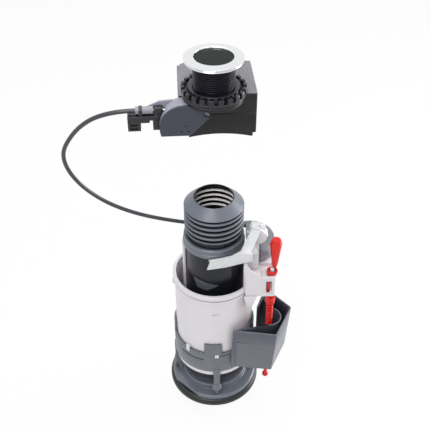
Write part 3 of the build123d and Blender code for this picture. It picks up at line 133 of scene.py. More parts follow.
print("cable control points", len(CABLE_POINTS_MM))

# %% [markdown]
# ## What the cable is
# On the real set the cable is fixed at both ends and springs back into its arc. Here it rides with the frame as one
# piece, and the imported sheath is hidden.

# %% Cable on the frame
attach(cable, "frame")
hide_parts("cable_sheath")

# %% [markdown]
# ## Working on one piece at a time
# Many pieces of the set are round and were moulded about an axis. They could be put together from cylinders, but a
# section is how such a piece is drawn. So each is a line of radius and height that is spun about the axis. The line
# starts as a plane merged to one point, and each further point is extruded from the last.

# %% Drawing and spinning a section
MERGE = 0.001 * MM
TURN_STEPS = 96


def drawn(name, points_mm):
    """Line through points of radius and height, left in edit mode."""
    bpy.ops.object.select_all(action="DESELECT")
    bpy.ops.mesh.primitive_plane_add(size=MM, location=(0, 0, 0))
    line = bpy.context.active_object
    line.name = name
    bpy.ops.object.mode_set(mode="EDIT")
    bpy.ops.mesh.select_all(action="SELECT")
    bpy.ops.mesh.merge(type="CENTER")
    bpy.ops.transform.translate(value=(points_mm[0][0] * MM, 0, points_mm[0][1] * MM))
    for (r0, z0), (r1, z1) in zip(points_mm, points_mm[1:]):
        step = ((r1 - r0) * MM, 0, (z1 - z0) * MM)
        bpy.ops.mesh.extrude_region_move(TRANSFORM_OT_translate={"value": step})
    bpy.ops.mesh.select_all(action="SELECT")
    return line


def cleaned():
    """Merge doubles, turn all faces outward and leave edit mode."""
    bpy.ops.mesh.select_all(action="SELECT")
    bpy.ops.mesh.remove_doubles(threshold=MERGE)
    bpy.ops.mesh.normals_make_consistent(inside=False)
    bpy.ops.object.mode_set(mode="OBJECT")


def spun(name, points_mm, steps=TURN_STEPS):
    """Closed section spun once about the axis."""
    piece = drawn(name, points_mm + points_mm[:1])
    bpy.ops.mesh.remove_doubles(threshold=MERGE)
    bpy.ops.mesh.spin(steps=steps, angle=2 * math.pi, center=(0, 0, 0), axis=(0, 0, 1))
    cleaned()
    print(name, "spun from", len(points_mm), "points")
    return piece


print("sections are spun in", TURN_STEPS, "steps")

# %% [markdown]
# ## Putting a piece in its place
# A piece that is modelled again stands for a piece of the imported model, so that it moves with the same body. This
# could be written out for each piece. A helper is shorter and forgets nothing: it smooths the faces, says which body
# carries the piece, hides the imported piece that it replaces, and notes which object is now shown.

# %% Settling a piece
shown = dict(nodes)


def only(piece):
    """Select one object alone and make it active."""
    bpy.ops.object.select_all(action="DESELECT")
    piece.select_set(True)
    bpy.context.view_layer.objects.active = piece


def settled(piece, node, smooth_deg):
    """Smooth a modelled piece and put it in a node's place."""
    only(piece)
    bpy.ops.object.shade_smooth_by_angle(angle=math.radians(smooth_deg))
    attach(piece, nodes[node]["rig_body"])
    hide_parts(node)
    shown[node] = piece
    print(piece.name, len(piece.data.polygons), "faces")


print(len(shown), "pieces shown so far")

# %% [markdown]
# ## Threaded barrel
# The barrel goes up through the lid, and the lock nut clamps the lid from below. Inside is a ledge that carries the
# sensor's board. A tube primitive could stand for it, but the ledge and the wall come out true only from a section,
# so the core is spun.

# %% Core of the barrel
BARREL_Z0, BARREL_Z1 = 367.0, 399.2
BARREL_CREST, BARREL_ROOT, BARREL_BORE = 18.0, 16.85, 15.5
LEDGE_Z, LEDGE_WIDTH = 386.0, 1.5
LEDGE_R = BARREL_BORE - LEDGE_WIDTH
barrel = spun(
    "barrel",
    [
        (BARREL_BORE, BARREL_Z0), (BARREL_ROOT, BARREL_Z0), (BARREL_ROOT, BARREL_Z1), (BARREL_BORE, BARREL_Z1),
        (BARREL_BORE, LEDGE_Z), (LEDGE_R, LEDGE_Z), (LEDGE_R, LEDGE_Z - LEDGE_WIDTH),
        (BARREL_BORE, LEDGE_Z - 2 * LEDGE_WIDTH),
    ],
)

# %% [markdown]
# ## Thread
# The thread is fine, with a 2 mm pitch. Stacked rings would look much the same from afar, but a thread is a helix,
# and a nut could not run on rings. So one tooth is drawn and the Screw modifier winds it upwards, a little too far
# at both ends. Then it is cut flat with two planes, as a machinist would face it.

# %% Thread wound and faced
PITCH = 2.0
TOOTH = [(0.0, 0.0), (0.2, 0.0), (0.52, 1.0), (0.68, 1.0), (1.0, 0.0)]  # share of the pitch, share of the depth
DEPTH = BARREL_CREST - BARREL_ROOT
thread = drawn(
    "thread", [(BARREL_ROOT + depth * DEPTH, BARREL_Z0 + (share - 1) * PITCH) for share, depth in TOOTH],
)
bpy.ops.object.mode_set(mode="OBJECT")
winding = thread.modifiers.new("winding", "SCREW")
winding.axis = "Z"
winding.angle = 2 * math.pi
winding.screw_offset = PITCH * MM
winding.iterations = math.ceil((BARREL_Z1 - BARREL_Z0) / PITCH) + 2
winding.steps = TURN_STEPS
winding.render_steps = TURN_STEPS
winding.use_merge_vertices = True
winding.merge_threshold = MERGE
only(thread)
bpy.ops.object.modifier_apply(modifier="winding")
bpy.ops.object.mode_set(mode="EDIT")
for height, way in ((BARREL_Z0, -1), (BARREL_Z1, 1)):
    bpy.ops.mesh.select_all(action="SELECT")
    bpy.ops.mesh.bisect(plane_co=(0, 0, height * MM), plane_no=(0, 0, way), clear_outer=True)
cleaned()
only(barrel)
thread.select_set(True)
bpy.ops.object.join()
settled(barrel, "threaded_barrel", 25.0)

# %% [markdown]
# ## Bellows
# The overflow's top is a soft bellows, so that its height can be set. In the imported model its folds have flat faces,
# but moulded rubber has full, rounded folds with dark grooves between. Subdividing the flat folds would round the
# grooves as well and close them. So each fold is drawn as a rounded hump, the grooves keep square corners, and the
# inside follows the outside at the wall's thickness.

# %% Rounded folds
BELLOWS_FOOT_Z, SHOULDER_Z, MOUTH_Z = 221.6, 249.8, 258.5
FOLD_OUT, FOLD_IN, MOUTH_R = 29.0, 25.8, 18.8
FOLD_PITCH, FIRST_GROOVE_Z, GROOVE_HALF = 5.84, 224.9, 1.1
FOLD_FULLNESS, FOLD_ROUNDNESS, BELLOWS_WALL = 2.2, 0.75, 1.4
FOOT_STEP, FOOT_HUMP = 0.6, [(0.35, 0.7), (0.55, 1.6)]  # share of a fold, height above the foot
SHOULDER_IN, SHOULDER_UP = 0.5, 0.6
LIP = [(1.2, -0.6), (0.6, 0.0), (-0.4, -0.3), (-0.4, -1.4)]  # from the mouth's radius and height
GROOVES, HALF_POINTS = 5, 6
GROOVES_Z = [FIRST_GROOVE_Z + FOLD_PITCH * i for i in range(GROOVES)]
HUMP = [i / HALF_POINTS for i in range(-HALF_POINTS, HALF_POINTS + 1)]


def fold(share):
    """Radius of a fold at a share of its half height."""
    return FOLD_IN + (FOLD_OUT - FOLD_IN) * (1 - abs(share) ** FOLD_FULLNESS) ** FOLD_ROUNDNESS


outside = [(FOLD_IN + FOOT_STEP, BELLOWS_FOOT_Z)] + [(fold(s), BELLOWS_FOOT_Z + up) for s, up in FOOT_HUMP]
half_fold = FOLD_PITCH / 2 - GROOVE_HALF
for groove_z in GROOVES_Z[:-1]:
    outside.append((FOLD_IN, groove_z - GROOVE_HALF))
    outside += [(fold(s), groove_z + FOLD_PITCH / 2 + half_fold * s) for s in HUMP]
outside += [
    (FOLD_IN, GROOVES_Z[-1] - GROOVE_HALF), (FOLD_IN, GROOVES_Z[-1] + GROOVE_HALF),
    (FOLD_OUT - SHOULDER_IN, GROOVES_Z[-1] + GROOVE_HALF), (FOLD_OUT, SHOULDER_Z),
    (FOLD_OUT - SHOULDER_IN, SHOULDER_Z + SHOULDER_UP),
]
lip = [(MOUTH_R + out, MOUTH_Z + up) for out, up in LIP]
inside = [(r - BELLOWS_WALL, z) for r, z in reversed(outside)]
bellows = spun("bellows", outside + lip + inside)
settled(bellows, "overflow_bellows", 40.0)

# %% [markdown]
# ## Rings inside the bellows
# Through the mouth the folds look striped, pale and dark: pale rings sit inside the folds and keep them round. A
# torus would be quick, but these rings lie flat against the rubber and are rounded only towards the water. So one is
# spun from its section, and the others are copies of it, each a fold higher.

# %% Support rings
RING_OUT, RING_IN, RING_HALF, RING_UP = 24.0, 21.8, 0.75, 0.4
RING_SECTION = [  # radius, share of the half height
    (RING_OUT, -1.0), (RING_OUT, 1.0), (RING_IN + 1.0, 1.0), (RING_IN + 0.3, 0.7), (RING_IN, 0.0),
    (RING_IN + 0.3, -0.7), (RING_IN + 1.0, -1.0),
]
ring_z = GROOVES_Z[0] + RING_UP
support_ring = spun("support_ring_1", [(r, ring_z + share * RING_HALF) for r, share in RING_SECTION])
only(support_ring)
bpy.ops.object.shade_smooth_by_angle(angle=math.radians(50))
support_rings = [support_ring]
for number in (2, 3, 4, 5):
    bpy.ops.object.duplicate()
    bpy.ops.transform.translate(value=(0, 0, FOLD_PITCH * MM))
    bpy.ops.object.transform_apply(location=True, rotation=True, scale=True)
    support_ring = bpy.context.active_object
    support_ring.name = f"support_ring_{number}"
    support_rings.append(support_ring)
for support_ring in support_rings:
    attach(support_ring, nodes["overflow_bellows"]["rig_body"])
    shown[support_ring.name] = support_ring
print("support rings", [ring.name for ring in support_rings])

# %% [markdown]
# ## Bezel
# The chrome bezel covers the hole in the lid. Its top is a gentle dome. Below the dome's edge a short band leans in,
# so that it mirrors the dark below, and a slim bead closes the foot. Chrome shows every slope by what it mirrors, so
# a bevelled ring would give the wrong lines. A spun section sets each slope by itself.

# %% Bezel with a leaning band
BEZEL_Z0, BEZEL_TOP = 399.2, 402.8
BEZEL_OUT, BEZEL_IN, BEZEL_STEPS = 25.5, 16.8, 128
BEZEL_EDGE = [  # in from the outer radius, up from the foot: bead, band, dome
    (0.9, 0.0), (0.6, 0.08), (0.5, 0.25), (0.5, 0.5), (0.65, 0.65), (1.25, 0.7), (0.0, 2.55), (0.5, 2.66),
    (1.3, 2.82), (2.6, 3.05), (4.2, 3.25), (6.0, 3.47),
]
BEZEL_HOLE = [(0.8, 0.0), (0.2, 0.2), (0.0, 0.7)]  # out from the hole, down from the top
bezel_section = [(BEZEL_IN, BEZEL_Z0)]
bezel_section += [(BEZEL_OUT - inward, BEZEL_Z0 + up) for inward, up in BEZEL_EDGE]
bezel_section += [(BEZEL_IN + outward, BEZEL_TOP - down) for outward, down in BEZEL_HOLE]
bezel = spun("bezel", bezel_section, BEZEL_STEPS)
settled(bezel, "bezel_ring", 50.0)

# %% [markdown]
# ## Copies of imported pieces
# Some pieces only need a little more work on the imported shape. They could be modelled anew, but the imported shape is
# right already, and it has to stay as it is. So they start from a copy. The copy's loose triangles are joined first,
# because modifiers and cuts need whole surfaces.

# %% Joined copy
FLAT_ENOUGH = math.radians(0.6)


def joined_copy(node, name):
    """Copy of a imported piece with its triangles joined."""
    copy = bpy.data.objects.new(name, nodes[node].data.copy())
    bpy.context.scene.collection.objects.link(copy)
    only(copy)
    bpy.ops.object.mode_set(mode="EDIT")
    bpy.ops.mesh.select_all(action="SELECT")
    bpy.ops.mesh.remove_doubles(threshold=MERGE)
    bpy.ops.mesh.dissolve_limited(angle_limit=FLAT_ENOUGH)
    bpy.ops.object.mode_set(mode="OBJECT")
    bpy.ops.mesh.customdata_custom_splitnormals_clear()
    print(name, "copied with", len(copy.data.polygons), "faces")
    return copy


print("copies join faces that turn less than", round(math.degrees(FLAT_ENOUGH), 2), "degrees")

# %% [markdown]
# ## Beaded rod
# The float hangs on a red rod, and the ridges on its shank hold the float at the height that is set. In the packed
# model they are flat discs. The moulded ridges are like a row of beads. A chain of spheres would leave seams inside,
# so the whole shank is spun from one beaded section, and takes the place of the discs.

# %% Shank with its beads
ROD_X, ROD_Y = 57.5, -21.0
SHANK_TOP, SHANK_FOOT, BEADS, SHANK_STEPS = 138.3, 62.0, 19, 32
BEAD_OUT, BEAD_IN, SHANK_BORE = 3.7, 2.0, 0.8
BEAD_SHOULDER = BEAD_OUT - 0.5
BEAD_SHAPE = [  # share of a bead's height, radius
    (0.0, BEAD_IN), (0.1, BEAD_SHOULDER), (0.24, BEAD_OUT), (0.34, BEAD_OUT), (0.48, BEAD_SHOULDER), (0.58, BEAD_IN),
]
bead_height = (SHANK_TOP - SHANK_FOOT) / BEADS
shank_section = [(SHANK_BORE, SHANK_TOP)]
for number in range(BEADS):
    shank_section += [(r, SHANK_TOP - (number + share) * bead_height) for share, r in BEAD_SHAPE]
shank_section += [(BEAD_IN, SHANK_FOOT), (SHANK_BORE, SHANK_FOOT)]
rod = spun("rod", shank_section, SHANK_STEPS)
only(rod)
bpy.ops.transform.translate(value=(ROD_X * MM, ROD_Y * MM, 0))
bpy.ops.object.transform_apply(location=True, rotation=True, scale=True)

# %% [markdown]
# ## The rest of the rod
# Above the shank the rod has its stem, eyelet and handle, and below it a ball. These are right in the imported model,
# so they aren't drawn again. Two copies of the rod are cut, each with one plane, and joined to the new shank. The
# cuts lie a little inside the shank, so that no gap shows.

# %% Handle and ball joined to the shank
LAP_TOP, LAP_FOOT = 0.4, 0.3
for cut_z, way in ((SHANK_TOP - LAP_TOP, -1), (SHANK_FOOT + LAP_FOOT, 1)):
    rest_of_rod = joined_copy("adjuster_rod", "rest_of_rod")
    bpy.ops.object.mode_set(mode="EDIT")
    bpy.ops.mesh.select_all(action="SELECT")
    bpy.ops.mesh.bisect(plane_co=(0, 0, cut_z * MM), plane_no=(0, 0, way), use_fill=True, clear_outer=True)
    bpy.ops.object.mode_set(mode="OBJECT")
    only(rod)
    rest_of_rod.select_set(True)
    bpy.ops.object.join()
settled(rod, "adjuster_rod", 25.0)

# %% [markdown]
# ## Rim of the white shell
# The shell's rim has two beads with a narrow slot between, which shows as one dark line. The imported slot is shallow.
# A dark stripe in the finish could stand for it, but it would stay dark from every side. So a ring with the slot's
# section is spun and taken away from a copy of the shell with the Boolean modifier.

# %% Slot between the beads
SHELL_TOP = 164.4
SLOT_R, SLOT_OUT, SLOT_Z0, SLOT_Z1 = 40.3, 44.0, SHELL_TOP - 6.6, SHELL_TOP - 5.2
SLOT_STEPS = 180
shell = joined_copy("valve_body", "shell")
slot_cutter = spun(
    "slot_cutter", [(SLOT_R, SLOT_Z0), (SLOT_OUT, SLOT_Z0), (SLOT_OUT, SLOT_Z1), (SLOT_R, SLOT_Z1)], SLOT_STEPS,
)
slotting = shell.modifiers.new("slotting", "BOOLEAN")
slotting.operation = "DIFFERENCE"
slotting.solver = "EXACT"
slotting.object = slot_cutter
only(shell)
bpy.ops.object.modifier_apply(modifier="slotting")
only(slot_cutter)
bpy.ops.object.delete()
settled(shell, "valve_body", 30.0)

# %% [markdown]
# ## Wall behind the rod's window
# A small window in the column shows the rod's stem. Behind the stem a thin wall closes the view into the column. A
# flat plane would be seen edge-on as nothing, so the wall starts as a cube at its size and place, and its edges are
# bevelled as the mould would leave them.

# %% Window backing
BACKING_MIN, BACKING_MAX = (46.0, -22.2, 154.4), (60.2, -21.4, 178.2)
BACKING_ROUND, BACKING_SEGMENTS = 0.25, 3
bpy.ops.object.select_all(action="DESELECT")
bpy.ops.mesh.primitive_cube_add(
    size=1.0,
    location=[(low + high) / 2 * MM for low, high in zip(BACKING_MIN, BACKING_MAX)],
    scale=[(high - low) * MM for low, high in zip(BACKING_MIN, BACKING_MAX)],
)
window_backing = bpy.context.active_object
window_backing.name = "window_backing"
bpy.ops.object.transform_apply(location=True, rotation=True, scale=True)
bpy.ops.object.mode_set(mode="EDIT")
bpy.ops.mesh.select_all(action="SELECT")
bpy.ops.mesh.bevel(offset=BACKING_ROUND * MM, segments=BACKING_SEGMENTS, affect="EDGES")
bpy.ops.object.mode_set(mode="OBJECT")
bpy.ops.object.shade_smooth_by_angle(angle=math.radians(35))
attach(window_backing, nodes["float_column"]["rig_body"])
shown["window_backing"] = window_backing
print("window backing", len(window_backing.data.polygons), "faces")

# %% [markdown]
# ## Moulded edges
# A mould never leaves a knife edge. A shader can fake a round, but not at the outline, where the eye looks for it.
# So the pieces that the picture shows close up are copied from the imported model, and each sharp edge gets a small
# real round with the Bevel modifier.

# %% Rounded copies
SHARP, ROUND_SEGMENTS = math.radians(32), 2
SOFT_PIECES = [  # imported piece, slot, round in mm
    ("float_bucket", "bucket_grey", 0.4), ("float_column", "white_plastic", 0.2),
    ("lift_lever", "clear_plastic", 0.35), ("bayonet_collar", "collar_grey", 0.3),
    ("valve_base", "grey_plastic", 0.5), ("lock_nut", "black_gloss", 0.35),
    ("housing_cover", "housing_plastic", 0.25), ("housing_base", "housing_plastic", 0.25),
    ("cable_arm", "black_plastic", 0.35), ("drum_housing", "drive_light_grey", 0.3),
    ("cable_guide", "smoke_plastic", 0.4),
]
for node, slot, round_mm in SOFT_PIECES:
    soft_copy = joined_copy(node, node + "_soft")
    rounding = soft_copy.modifiers.new("rounding", "BEVEL")
    rounding.width = round_mm * MM
    rounding.segments = ROUND_SEGMENTS
    rounding.limit_method = "ANGLE"
    rounding.angle_limit = SHARP
    rounding.use_clamp_overlap = False
    rounding.miter_outer = "MITER_ARC"
    bpy.ops.object.modifier_apply(modifier="rounding")
    settled(soft_copy, node, 40.0)

# %% [markdown]
# ## Floor and lamps
# The set stands on a plain pale floor in soft studio light. One sun would be simpler, but its shadows are hard. A
# large soft lamp above and in front on the left gives the long streaks on the glossy tube, one on the right opens
# the shadows there, and one overhead lights the tops. They are kept low, so that pale plastic doesn't lose its shape.

# %% Floor and soft lamps
FLOOR_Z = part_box("valve_base")[0][2]
FLOOR_WIDTH, FLOOR_GAP = 60.0, 0.0002
LAMPS = [  # name, place, aim, width in m, watts
    ("key_softbox", (-0.35, -0.9, 1.35), (0, 0, 0.22), 0.8, 11.0),
    ("side_softbox", (1.1, 0.3, 0.3), (0.05, 0, 0.12), 0.6, 11.0),
    ("top_softbox", (-0.05, 0.25, 1.45), (0, 0, 0.3), 0.9, 9.5),
]
bpy.ops.mesh.primitive_plane_add(size=FLOOR_WIDTH, location=(0, 0, FLOOR_Z - FLOOR_GAP))
floor = bpy.context.active_object
floor.name = "floor"
for name, place, aim, width, watts in LAMPS:
    bpy.ops.object.light_add(type="AREA", location=place)
    light = bpy.context.active_object
    light.name = name
    light.data.size = width
    light.data.energy = watts
    dx, dy, dz = [a - b for a, b in zip(aim, place)]
    light.rotation_euler = (math.atan2(math.hypot(dx, dy), -dz), 0, math.atan2(-dx, dy))
print("floor at", round(FLOOR_Z, 4), "with", len(LAMPS), "lamps")

# %% [markdown]
# ## Helpers for finishes
# A finish is written as the sRGB colour that the eye reads, but the shader works in linear light, so one function
# turns the one into the other. Shader nodes could be added and linked by hand in the editor. In a script one helper
# adds a node with its settings, values and links, and every finish below is built from it.

# %% Colour and node helpers
def linear(code):
    """Linear RGBA from an sRGB hex code."""
    channels = [int(code[i:i + 2], 16) / 255 for i in (1, 3, 5)]
    return [c / 12.92 if c <= 0.04045 else ((c + 0.055) / 1.055) ** 2.4 for c in channels] + [1.0]


def add(material, kind, values=None, links=None, **settings):
    """Shader node with its settings, input values and input links."""
    node = material.node_tree.nodes.new(kind)
    for name, value in settings.items():
        setattr(node, name, value)
    for socket, value in (values or {}).items():
        node.inputs[socket].default_value = value
    for socket, source in (links or {}).items():
        material.node_tree.links.new(source, node.inputs[socket])
    return node


def empty_material(name):
    """Material with nothing but its output."""
    material = bpy.data.materials.new(name)
    material.use_nodes = True
    material.node_tree.nodes.clear()
    return material


def finish(material, shader):
    """Join a shader to the material's output."""
    add(material, "ShaderNodeOutputMaterial", links={"Surface": shader})
    return material


print("half grey in linear light", round(linear("#808080")[0], 3))

# %% [markdown]
# ## White background
# Such a picture is taken on white paper that runs up behind the set. Enough lamps to make the paper white would wash
# out the set itself. So the rays that show the background, from the camera, from mirrors and through clear plastic,
# see plain white, while the rays that light the set see a dimmer floor and world. The floor keeps a little of its
# own shading, and with it the set's shadow.

# %% Floor paint
WHITE = (1, 1, 1, 1)
FLOOR_WHITE = 0.93


def seen_rays(material):
    """One for rays that show the background: camera, mirror and clear rays."""
    path = add(material, "ShaderNodeLightPath")
    seen = add(
        material, "ShaderNodeMath", operation="MAXIMUM",
        links={0: path.outputs["Is Camera Ray"], 1: path.outputs["Is Glossy Ray"]},
    )
    return add(
        material, "ShaderNodeMath", operation="MAXIMUM",
        links={0: seen.outputs[0], 1: path.outputs["Is Transmission Ray"]},
    )


# White paper with a faint soft shadow
floor_paint = empty_material("floor_paint")
floor_seen = seen_rays(floor_paint)
floor_share = add(
    floor_paint, "ShaderNodeMath", operation="MULTIPLY", values={1: FLOOR_WHITE}, links={0: floor_seen.outputs[0]},
)
floor_lit = add(floor_paint, "ShaderNodeBsdfDiffuse", values={"Color": linear("#f4f4f4")})
floor_white = add(floor_paint, "ShaderNodeEmission", values={"Color": WHITE, "Strength": 1.0})
floor_mix = add(
    floor_paint, "ShaderNodeMixShader",
    links={0: floor_share.outputs[0], 1: floor_lit.outputs[0], 2: floor_white.outputs[0]},
)
finish(floor_paint, floor_mix.outputs[0])
floor.data.materials.append(floor_paint)
print("floor is", FLOOR_WHITE, "white to the rays that show it")

# %% [markdown]
# ## World
# Beyond the floor the studio's pale walls send a faint light from all sides. Walls could be built round the set, but
# the world's background does the same without any, faint and a little cool for light, and plain white to be seen.

# %% World light
WORLD_LIGHT = 0.38
world = bpy.data.worlds.new("studio")
bpy.context.scene.world = world
world.use_nodes = True
world.node_tree.nodes.clear()
world_seen = seen_rays(world)
world_lit = add(world, "ShaderNodeBackground", values={"Color": linear("#f2f4f8"), "Strength": WORLD_LIGHT})
world_white = add(world, "ShaderNodeBackground", values={"Color": WHITE, "Strength": 1.0})
world_mix = add(
    world, "ShaderNodeMixShader",
    links={0: world_seen.outputs[0], 1: world_lit.outputs[0], 2: world_white.outputs[0]},
)
add(world, "ShaderNodeOutputWorld", links={"Surface": world_mix.outputs[0]})
print("world lights at", WORLD_LIGHT)

# %% [markdown]
# ## Edges and hollows
# On every moulded piece the edges catch light, and the corners between walls lie in shade. Both could be painted by
# hand. Here the shader finds them and paints them into the colour: the Bevel node turns the normal near an edge, so the
# angle between it and the true normal marks the edge for a painted highlight, and ambient occlusion marks how closed in
# a spot is, for painted shade.

# %% Painted highlights on edges and painted shade in hollows
EDGE_STARTS, EDGE_FULL = 0.99, 0.75  # cosine of the turn between the two normals
EDGE_GAIN, EDGE_LIFT = 1.8, 0.12
HOLLOW_DEEP, HOLLOW_OPEN = 0.2, 0.9  # share of open sky


def painted_edge_highlight(material, tint, base, rounded, strength):
    """Tint with a painted highlight, paler in its own hue, along the edges."""
    face = add(material, "ShaderNodeNewGeometry")
    turn = add(
        material, "ShaderNodeVectorMath", operation="DOT_PRODUCT", links={0: rounded, 1: face.outputs["True Normal"]},
    )
    highlight_share = add(
        material, "ShaderNodeMapRange", values={"From Min": EDGE_STARTS, "From Max": EDGE_FULL, "To Max": strength},
        links={"Value": turn.outputs["Value"]},
    )
    gain = EDGE_GAIN + EDGE_LIFT / max(base[:3])
    bright = [min(1.0, c * gain) for c in base[:3]] + [1.0]
    return add(
        material, "ShaderNodeMix", data_type="RGBA", values={7: bright}, links={0: highlight_share.outputs[0], 6: tint},
    ).outputs[2]


def painted_hollow_shade(material, tint, reach_mm, depth):
    """Tint with painted shade where walls stand closer than the reach."""
    nook = add(material, "ShaderNodeAmbientOcclusion", samples=6, values={"Distance": reach_mm * MM})
    shade = add(
        material, "ShaderNodeMapRange",
        values={"From Min": HOLLOW_DEEP, "From Max": HOLLOW_OPEN, "To Min": 1 - depth},
        links={"Value": nook.outputs["AO"]},
    )
    return add(
        material, "ShaderNodeMix", data_type="RGBA", blend_type="MULTIPLY", values={0: 1.0},
        links={6: tint, 7: shade.outputs[0]},
    ).outputs[2]


print("edges show from a turn of", round(math.degrees(math.acos(EDGE_STARTS))), "degrees")

# %% [markdown]
# ## Moulded plastics
# Most pieces are injection moulded. A moulded wall is never one flat colour: it has slow flow marks a centimetre or
# so across, and a fine texture from the tool. Image textures would need a photo of each plastic. Two noises give
# both at any size, so one recipe serves all the plastics. The tool's texture is really about a tenth of a
# millimetre; it is drawn several times coarser here, so that it still shows.

# %% Moulded plastic recipe
FLOW_MM, GLOSS_SPREAD, RELIEF = 14.0, 0.06, 0.1 * MM


def grain_scale(size_mm):
    """Noise scale whose blotches are about this big."""
    return 1.0 / (size_mm * MM)


def moulded(
    name, colour, roughness, grain_mm=0.6, flow=0.10, grain=0.05, edge_mm=0.35, edge_light=0.0, hollow_mm=1.5,
    hollow=0.45, **shader,
):
    """Moulded plastic with flow marks, tool texture, a soft painted highlight on the edges and painted shade in the
    hollows.
    """
    material = empty_material(name)
    place = add(material, "ShaderNodeTexCoord")
    marks = add(
        material, "ShaderNodeTexNoise", values={"Scale": grain_scale(FLOW_MM), "Detail": 3.0, "Roughness": 0.55},
        links={"Vector": place.outputs["Object"]},
    )
    base = linear(colour)
    dark = [c * (1 - flow) for c in base[:3]] + [1.0]
    pale = [min(1.0, c * (1 + flow)) for c in base[:3]] + [1.0]
    tint = add(
        material, "ShaderNodeMix", data_type="RGBA", values={6: dark, 7: pale}, links={0: marks.outputs["Fac"]},
    ).outputs[2]
    edges = add(material, "ShaderNodeBevel", samples=4, values={"Radius": edge_mm * MM})
    tint = painted_edge_highlight(material, tint, base, edges.outputs[0], edge_light)
    tint = painted_hollow_shade(material, tint, hollow_mm, hollow)
    texture = add(
        material, "ShaderNodeTexNoise", values={"Scale": grain_scale(grain_mm), "Detail": 2.0},
        links={"Vector": place.outputs["Object"]},
    )
    gloss = add(
        material, "ShaderNodeMapRange",
        values={"To Min": max(0.02, roughness - GLOSS_SPREAD), "To Max": roughness + GLOSS_SPREAD},
        links={"Value": marks.outputs["Fac"]},
    )
    relief = add(
        material, "ShaderNodeBump", values={"Strength": grain, "Distance": RELIEF},
        links={"Height": texture.outputs["Fac"], "Normal": edges.outputs[0]},
    )
    plastic = add(
        material, "ShaderNodeBsdfPrincipled", values=shader,
        links={"Base Color": tint, "Roughness": gloss.outputs[0], "Normal": relief.outputs[0]},
    )
    return finish(material, plastic.outputs[0])


print("flow marks", FLOW_MM, "mm across")

# %% [markdown]
# ## Dressing a piece
# A finish shows only once a piece wears it. By hand it would be picked in the material list of each piece. One helper
# does it for several pieces at once and for every place in their lists, so that no old finish is left behind.

# %% Giving pieces a finish
def dress(material, *names):
    """Give pieces their finish."""
    for name in names:
        piece = shown[name]
        if not piece.material_slots:
            piece.data.materials.append(material)
        for material_slot in piece.material_slots:
            material_slot.material = material
    print(material.name, "on", ", ".join(names))


print(len(shown), "pieces to dress")

# %% [markdown]
# ## White plastics
# The shell and the column are polypropylene, which is waxy: light goes a little way in and comes out again beside
# it. A plain diffuse white would look like chalk. A little subsurface scattering gives the wax. The rings in the
# bellows are acetal, a harder and cleaner white.

# %% Polypropylene and acetal
# Warm off-white that stays soft in its shadows, with painted shade in its rim slot and hollows
white_polypropylene = moulded(
    "white_polypropylene", "#e3dfe2", 0.34, flow=0.03, grain=0.03, edge_mm=0.12, hollow_mm=2.5, hollow=0.6,
    **{"Subsurface Weight": 0.08, "Subsurface Radius": (0.002, 0.0018, 0.0018), "IOR": 1.49},
)
dress(white_polypropylene, "valve_body", "float_column", "window_backing", "seal_retainer", "cable_quadrant")
# Bright white stripes in the dark of the bellows
ring_acetal = moulded(
    "ring_acetal", "#fdf6f7", 0.4, flow=0.02, grain=0.0, edge_mm=0.05, hollow=0.1, **{"IOR": 1.48},
)
dress(ring_acetal, *[ring.name for ring in support_rings])

# %% [markdown]
# ## A second tone on one moulding
# Some mouldings have two tones, where a part of them has a paler colour or a painted sheen. Two materials would need
# the mesh cut along the border. It is simpler to find the part by its place in the shader, such as its distance from
# the valve's axis, and to lay the second tone over the first one there.

# %% Second tone and distance from the axis
def recoloured(material, share, colour):
    """Lay a second colour over a finish, by a share from 0 to 1."""
    shader = material.node_tree.nodes["Principled BSDF"]
    tint = shader.inputs["Base Color"].links[0].from_socket
    over = add(
        material, "ShaderNodeMix", data_type="RGBA", values={7: linear(colour)}, links={0: share, 6: tint},
    )
    material.node_tree.links.new(over.outputs[2], shader.inputs["Base Color"])


def from_axis(material, place):
    """Way out from the valve's axis, and the distance from it."""
    across = add(
        material, "ShaderNodeVectorMath", operation="MULTIPLY", values={1: (1, 1, 0)},
        links={0: place.outputs["Object"]},
    )
    radius = add(material, "ShaderNodeVectorMath", operation="LENGTH", links={0: across.outputs[0]})
    return across.outputs[0], radius.outputs["Value"]


print("the folds reach", FOLD_OUT, "mm from the axis")

# %% [markdown]
# ## Overflow tube
# The tube is glossy ABS, nearly black, with long soft streaks of light. On it stands a raised pad in a lighter grey.
# The pad could have a material of its own, but it is part of the same moulding. So one finish covers both, and the
# shader tells the pad by its distance from the axis and its height.

# %% Glossy tube with a lighter pad
PAD_R0, PAD_R1, PAD_Z0, PAD_Z1 = 29.8 * MM, 30.0 * MM, 158.0 * MM, 159.0 * MM
# Near black that mirrors the lamps as streaks
gloss_black_abs = moulded(
    "gloss_black_abs", "#14171c", 0.24, flow=0.16, grain=0.02, **{"IOR": 1.5, "Specular IOR Level": 0.34},
)
tube_place = add(gloss_black_abs, "ShaderNodeTexCoord")
tube_radius = from_axis(gloss_black_abs, tube_place)[1]
pad_out = add(
    gloss_black_abs, "ShaderNodeMapRange", values={"From Min": PAD_R0, "From Max": PAD_R1},
    links={"Value": tube_radius},
)
tube_height = add(gloss_black_abs, "ShaderNodeSeparateXYZ", links={0: tube_place.outputs["Object"]})
pad_up = add(
    gloss_black_abs, "ShaderNodeMapRange", values={"From Min": PAD_Z0, "From Max": PAD_Z1},
    links={"Value": tube_height.outputs["Z"]},
)
pad = add(
    gloss_black_abs, "ShaderNodeMath", operation="MULTIPLY", links={0: pad_out.outputs[0], 1: pad_up.outputs[0]},
)
recoloured(gloss_black_abs, pad.outputs[0], "#565862")
dress(gloss_black_abs, "overflow_tube")

# %% [markdown]
# ## Greys and red
# The collar is grey acetal, the flange and the cuff are grey ABS, and the bucket is slate-grey ABS with a satin tool
# texture. The rod is red acetal, which is slippery and a little shiny. Each could be a single grey or red, but the eye
# tells the pieces apart by their hue, so each has its own. On the big open mouldings the painted shade in the hollows
# reaches far.

# %% Collar, flange, bucket and rod
ABS = {"IOR": 1.53}
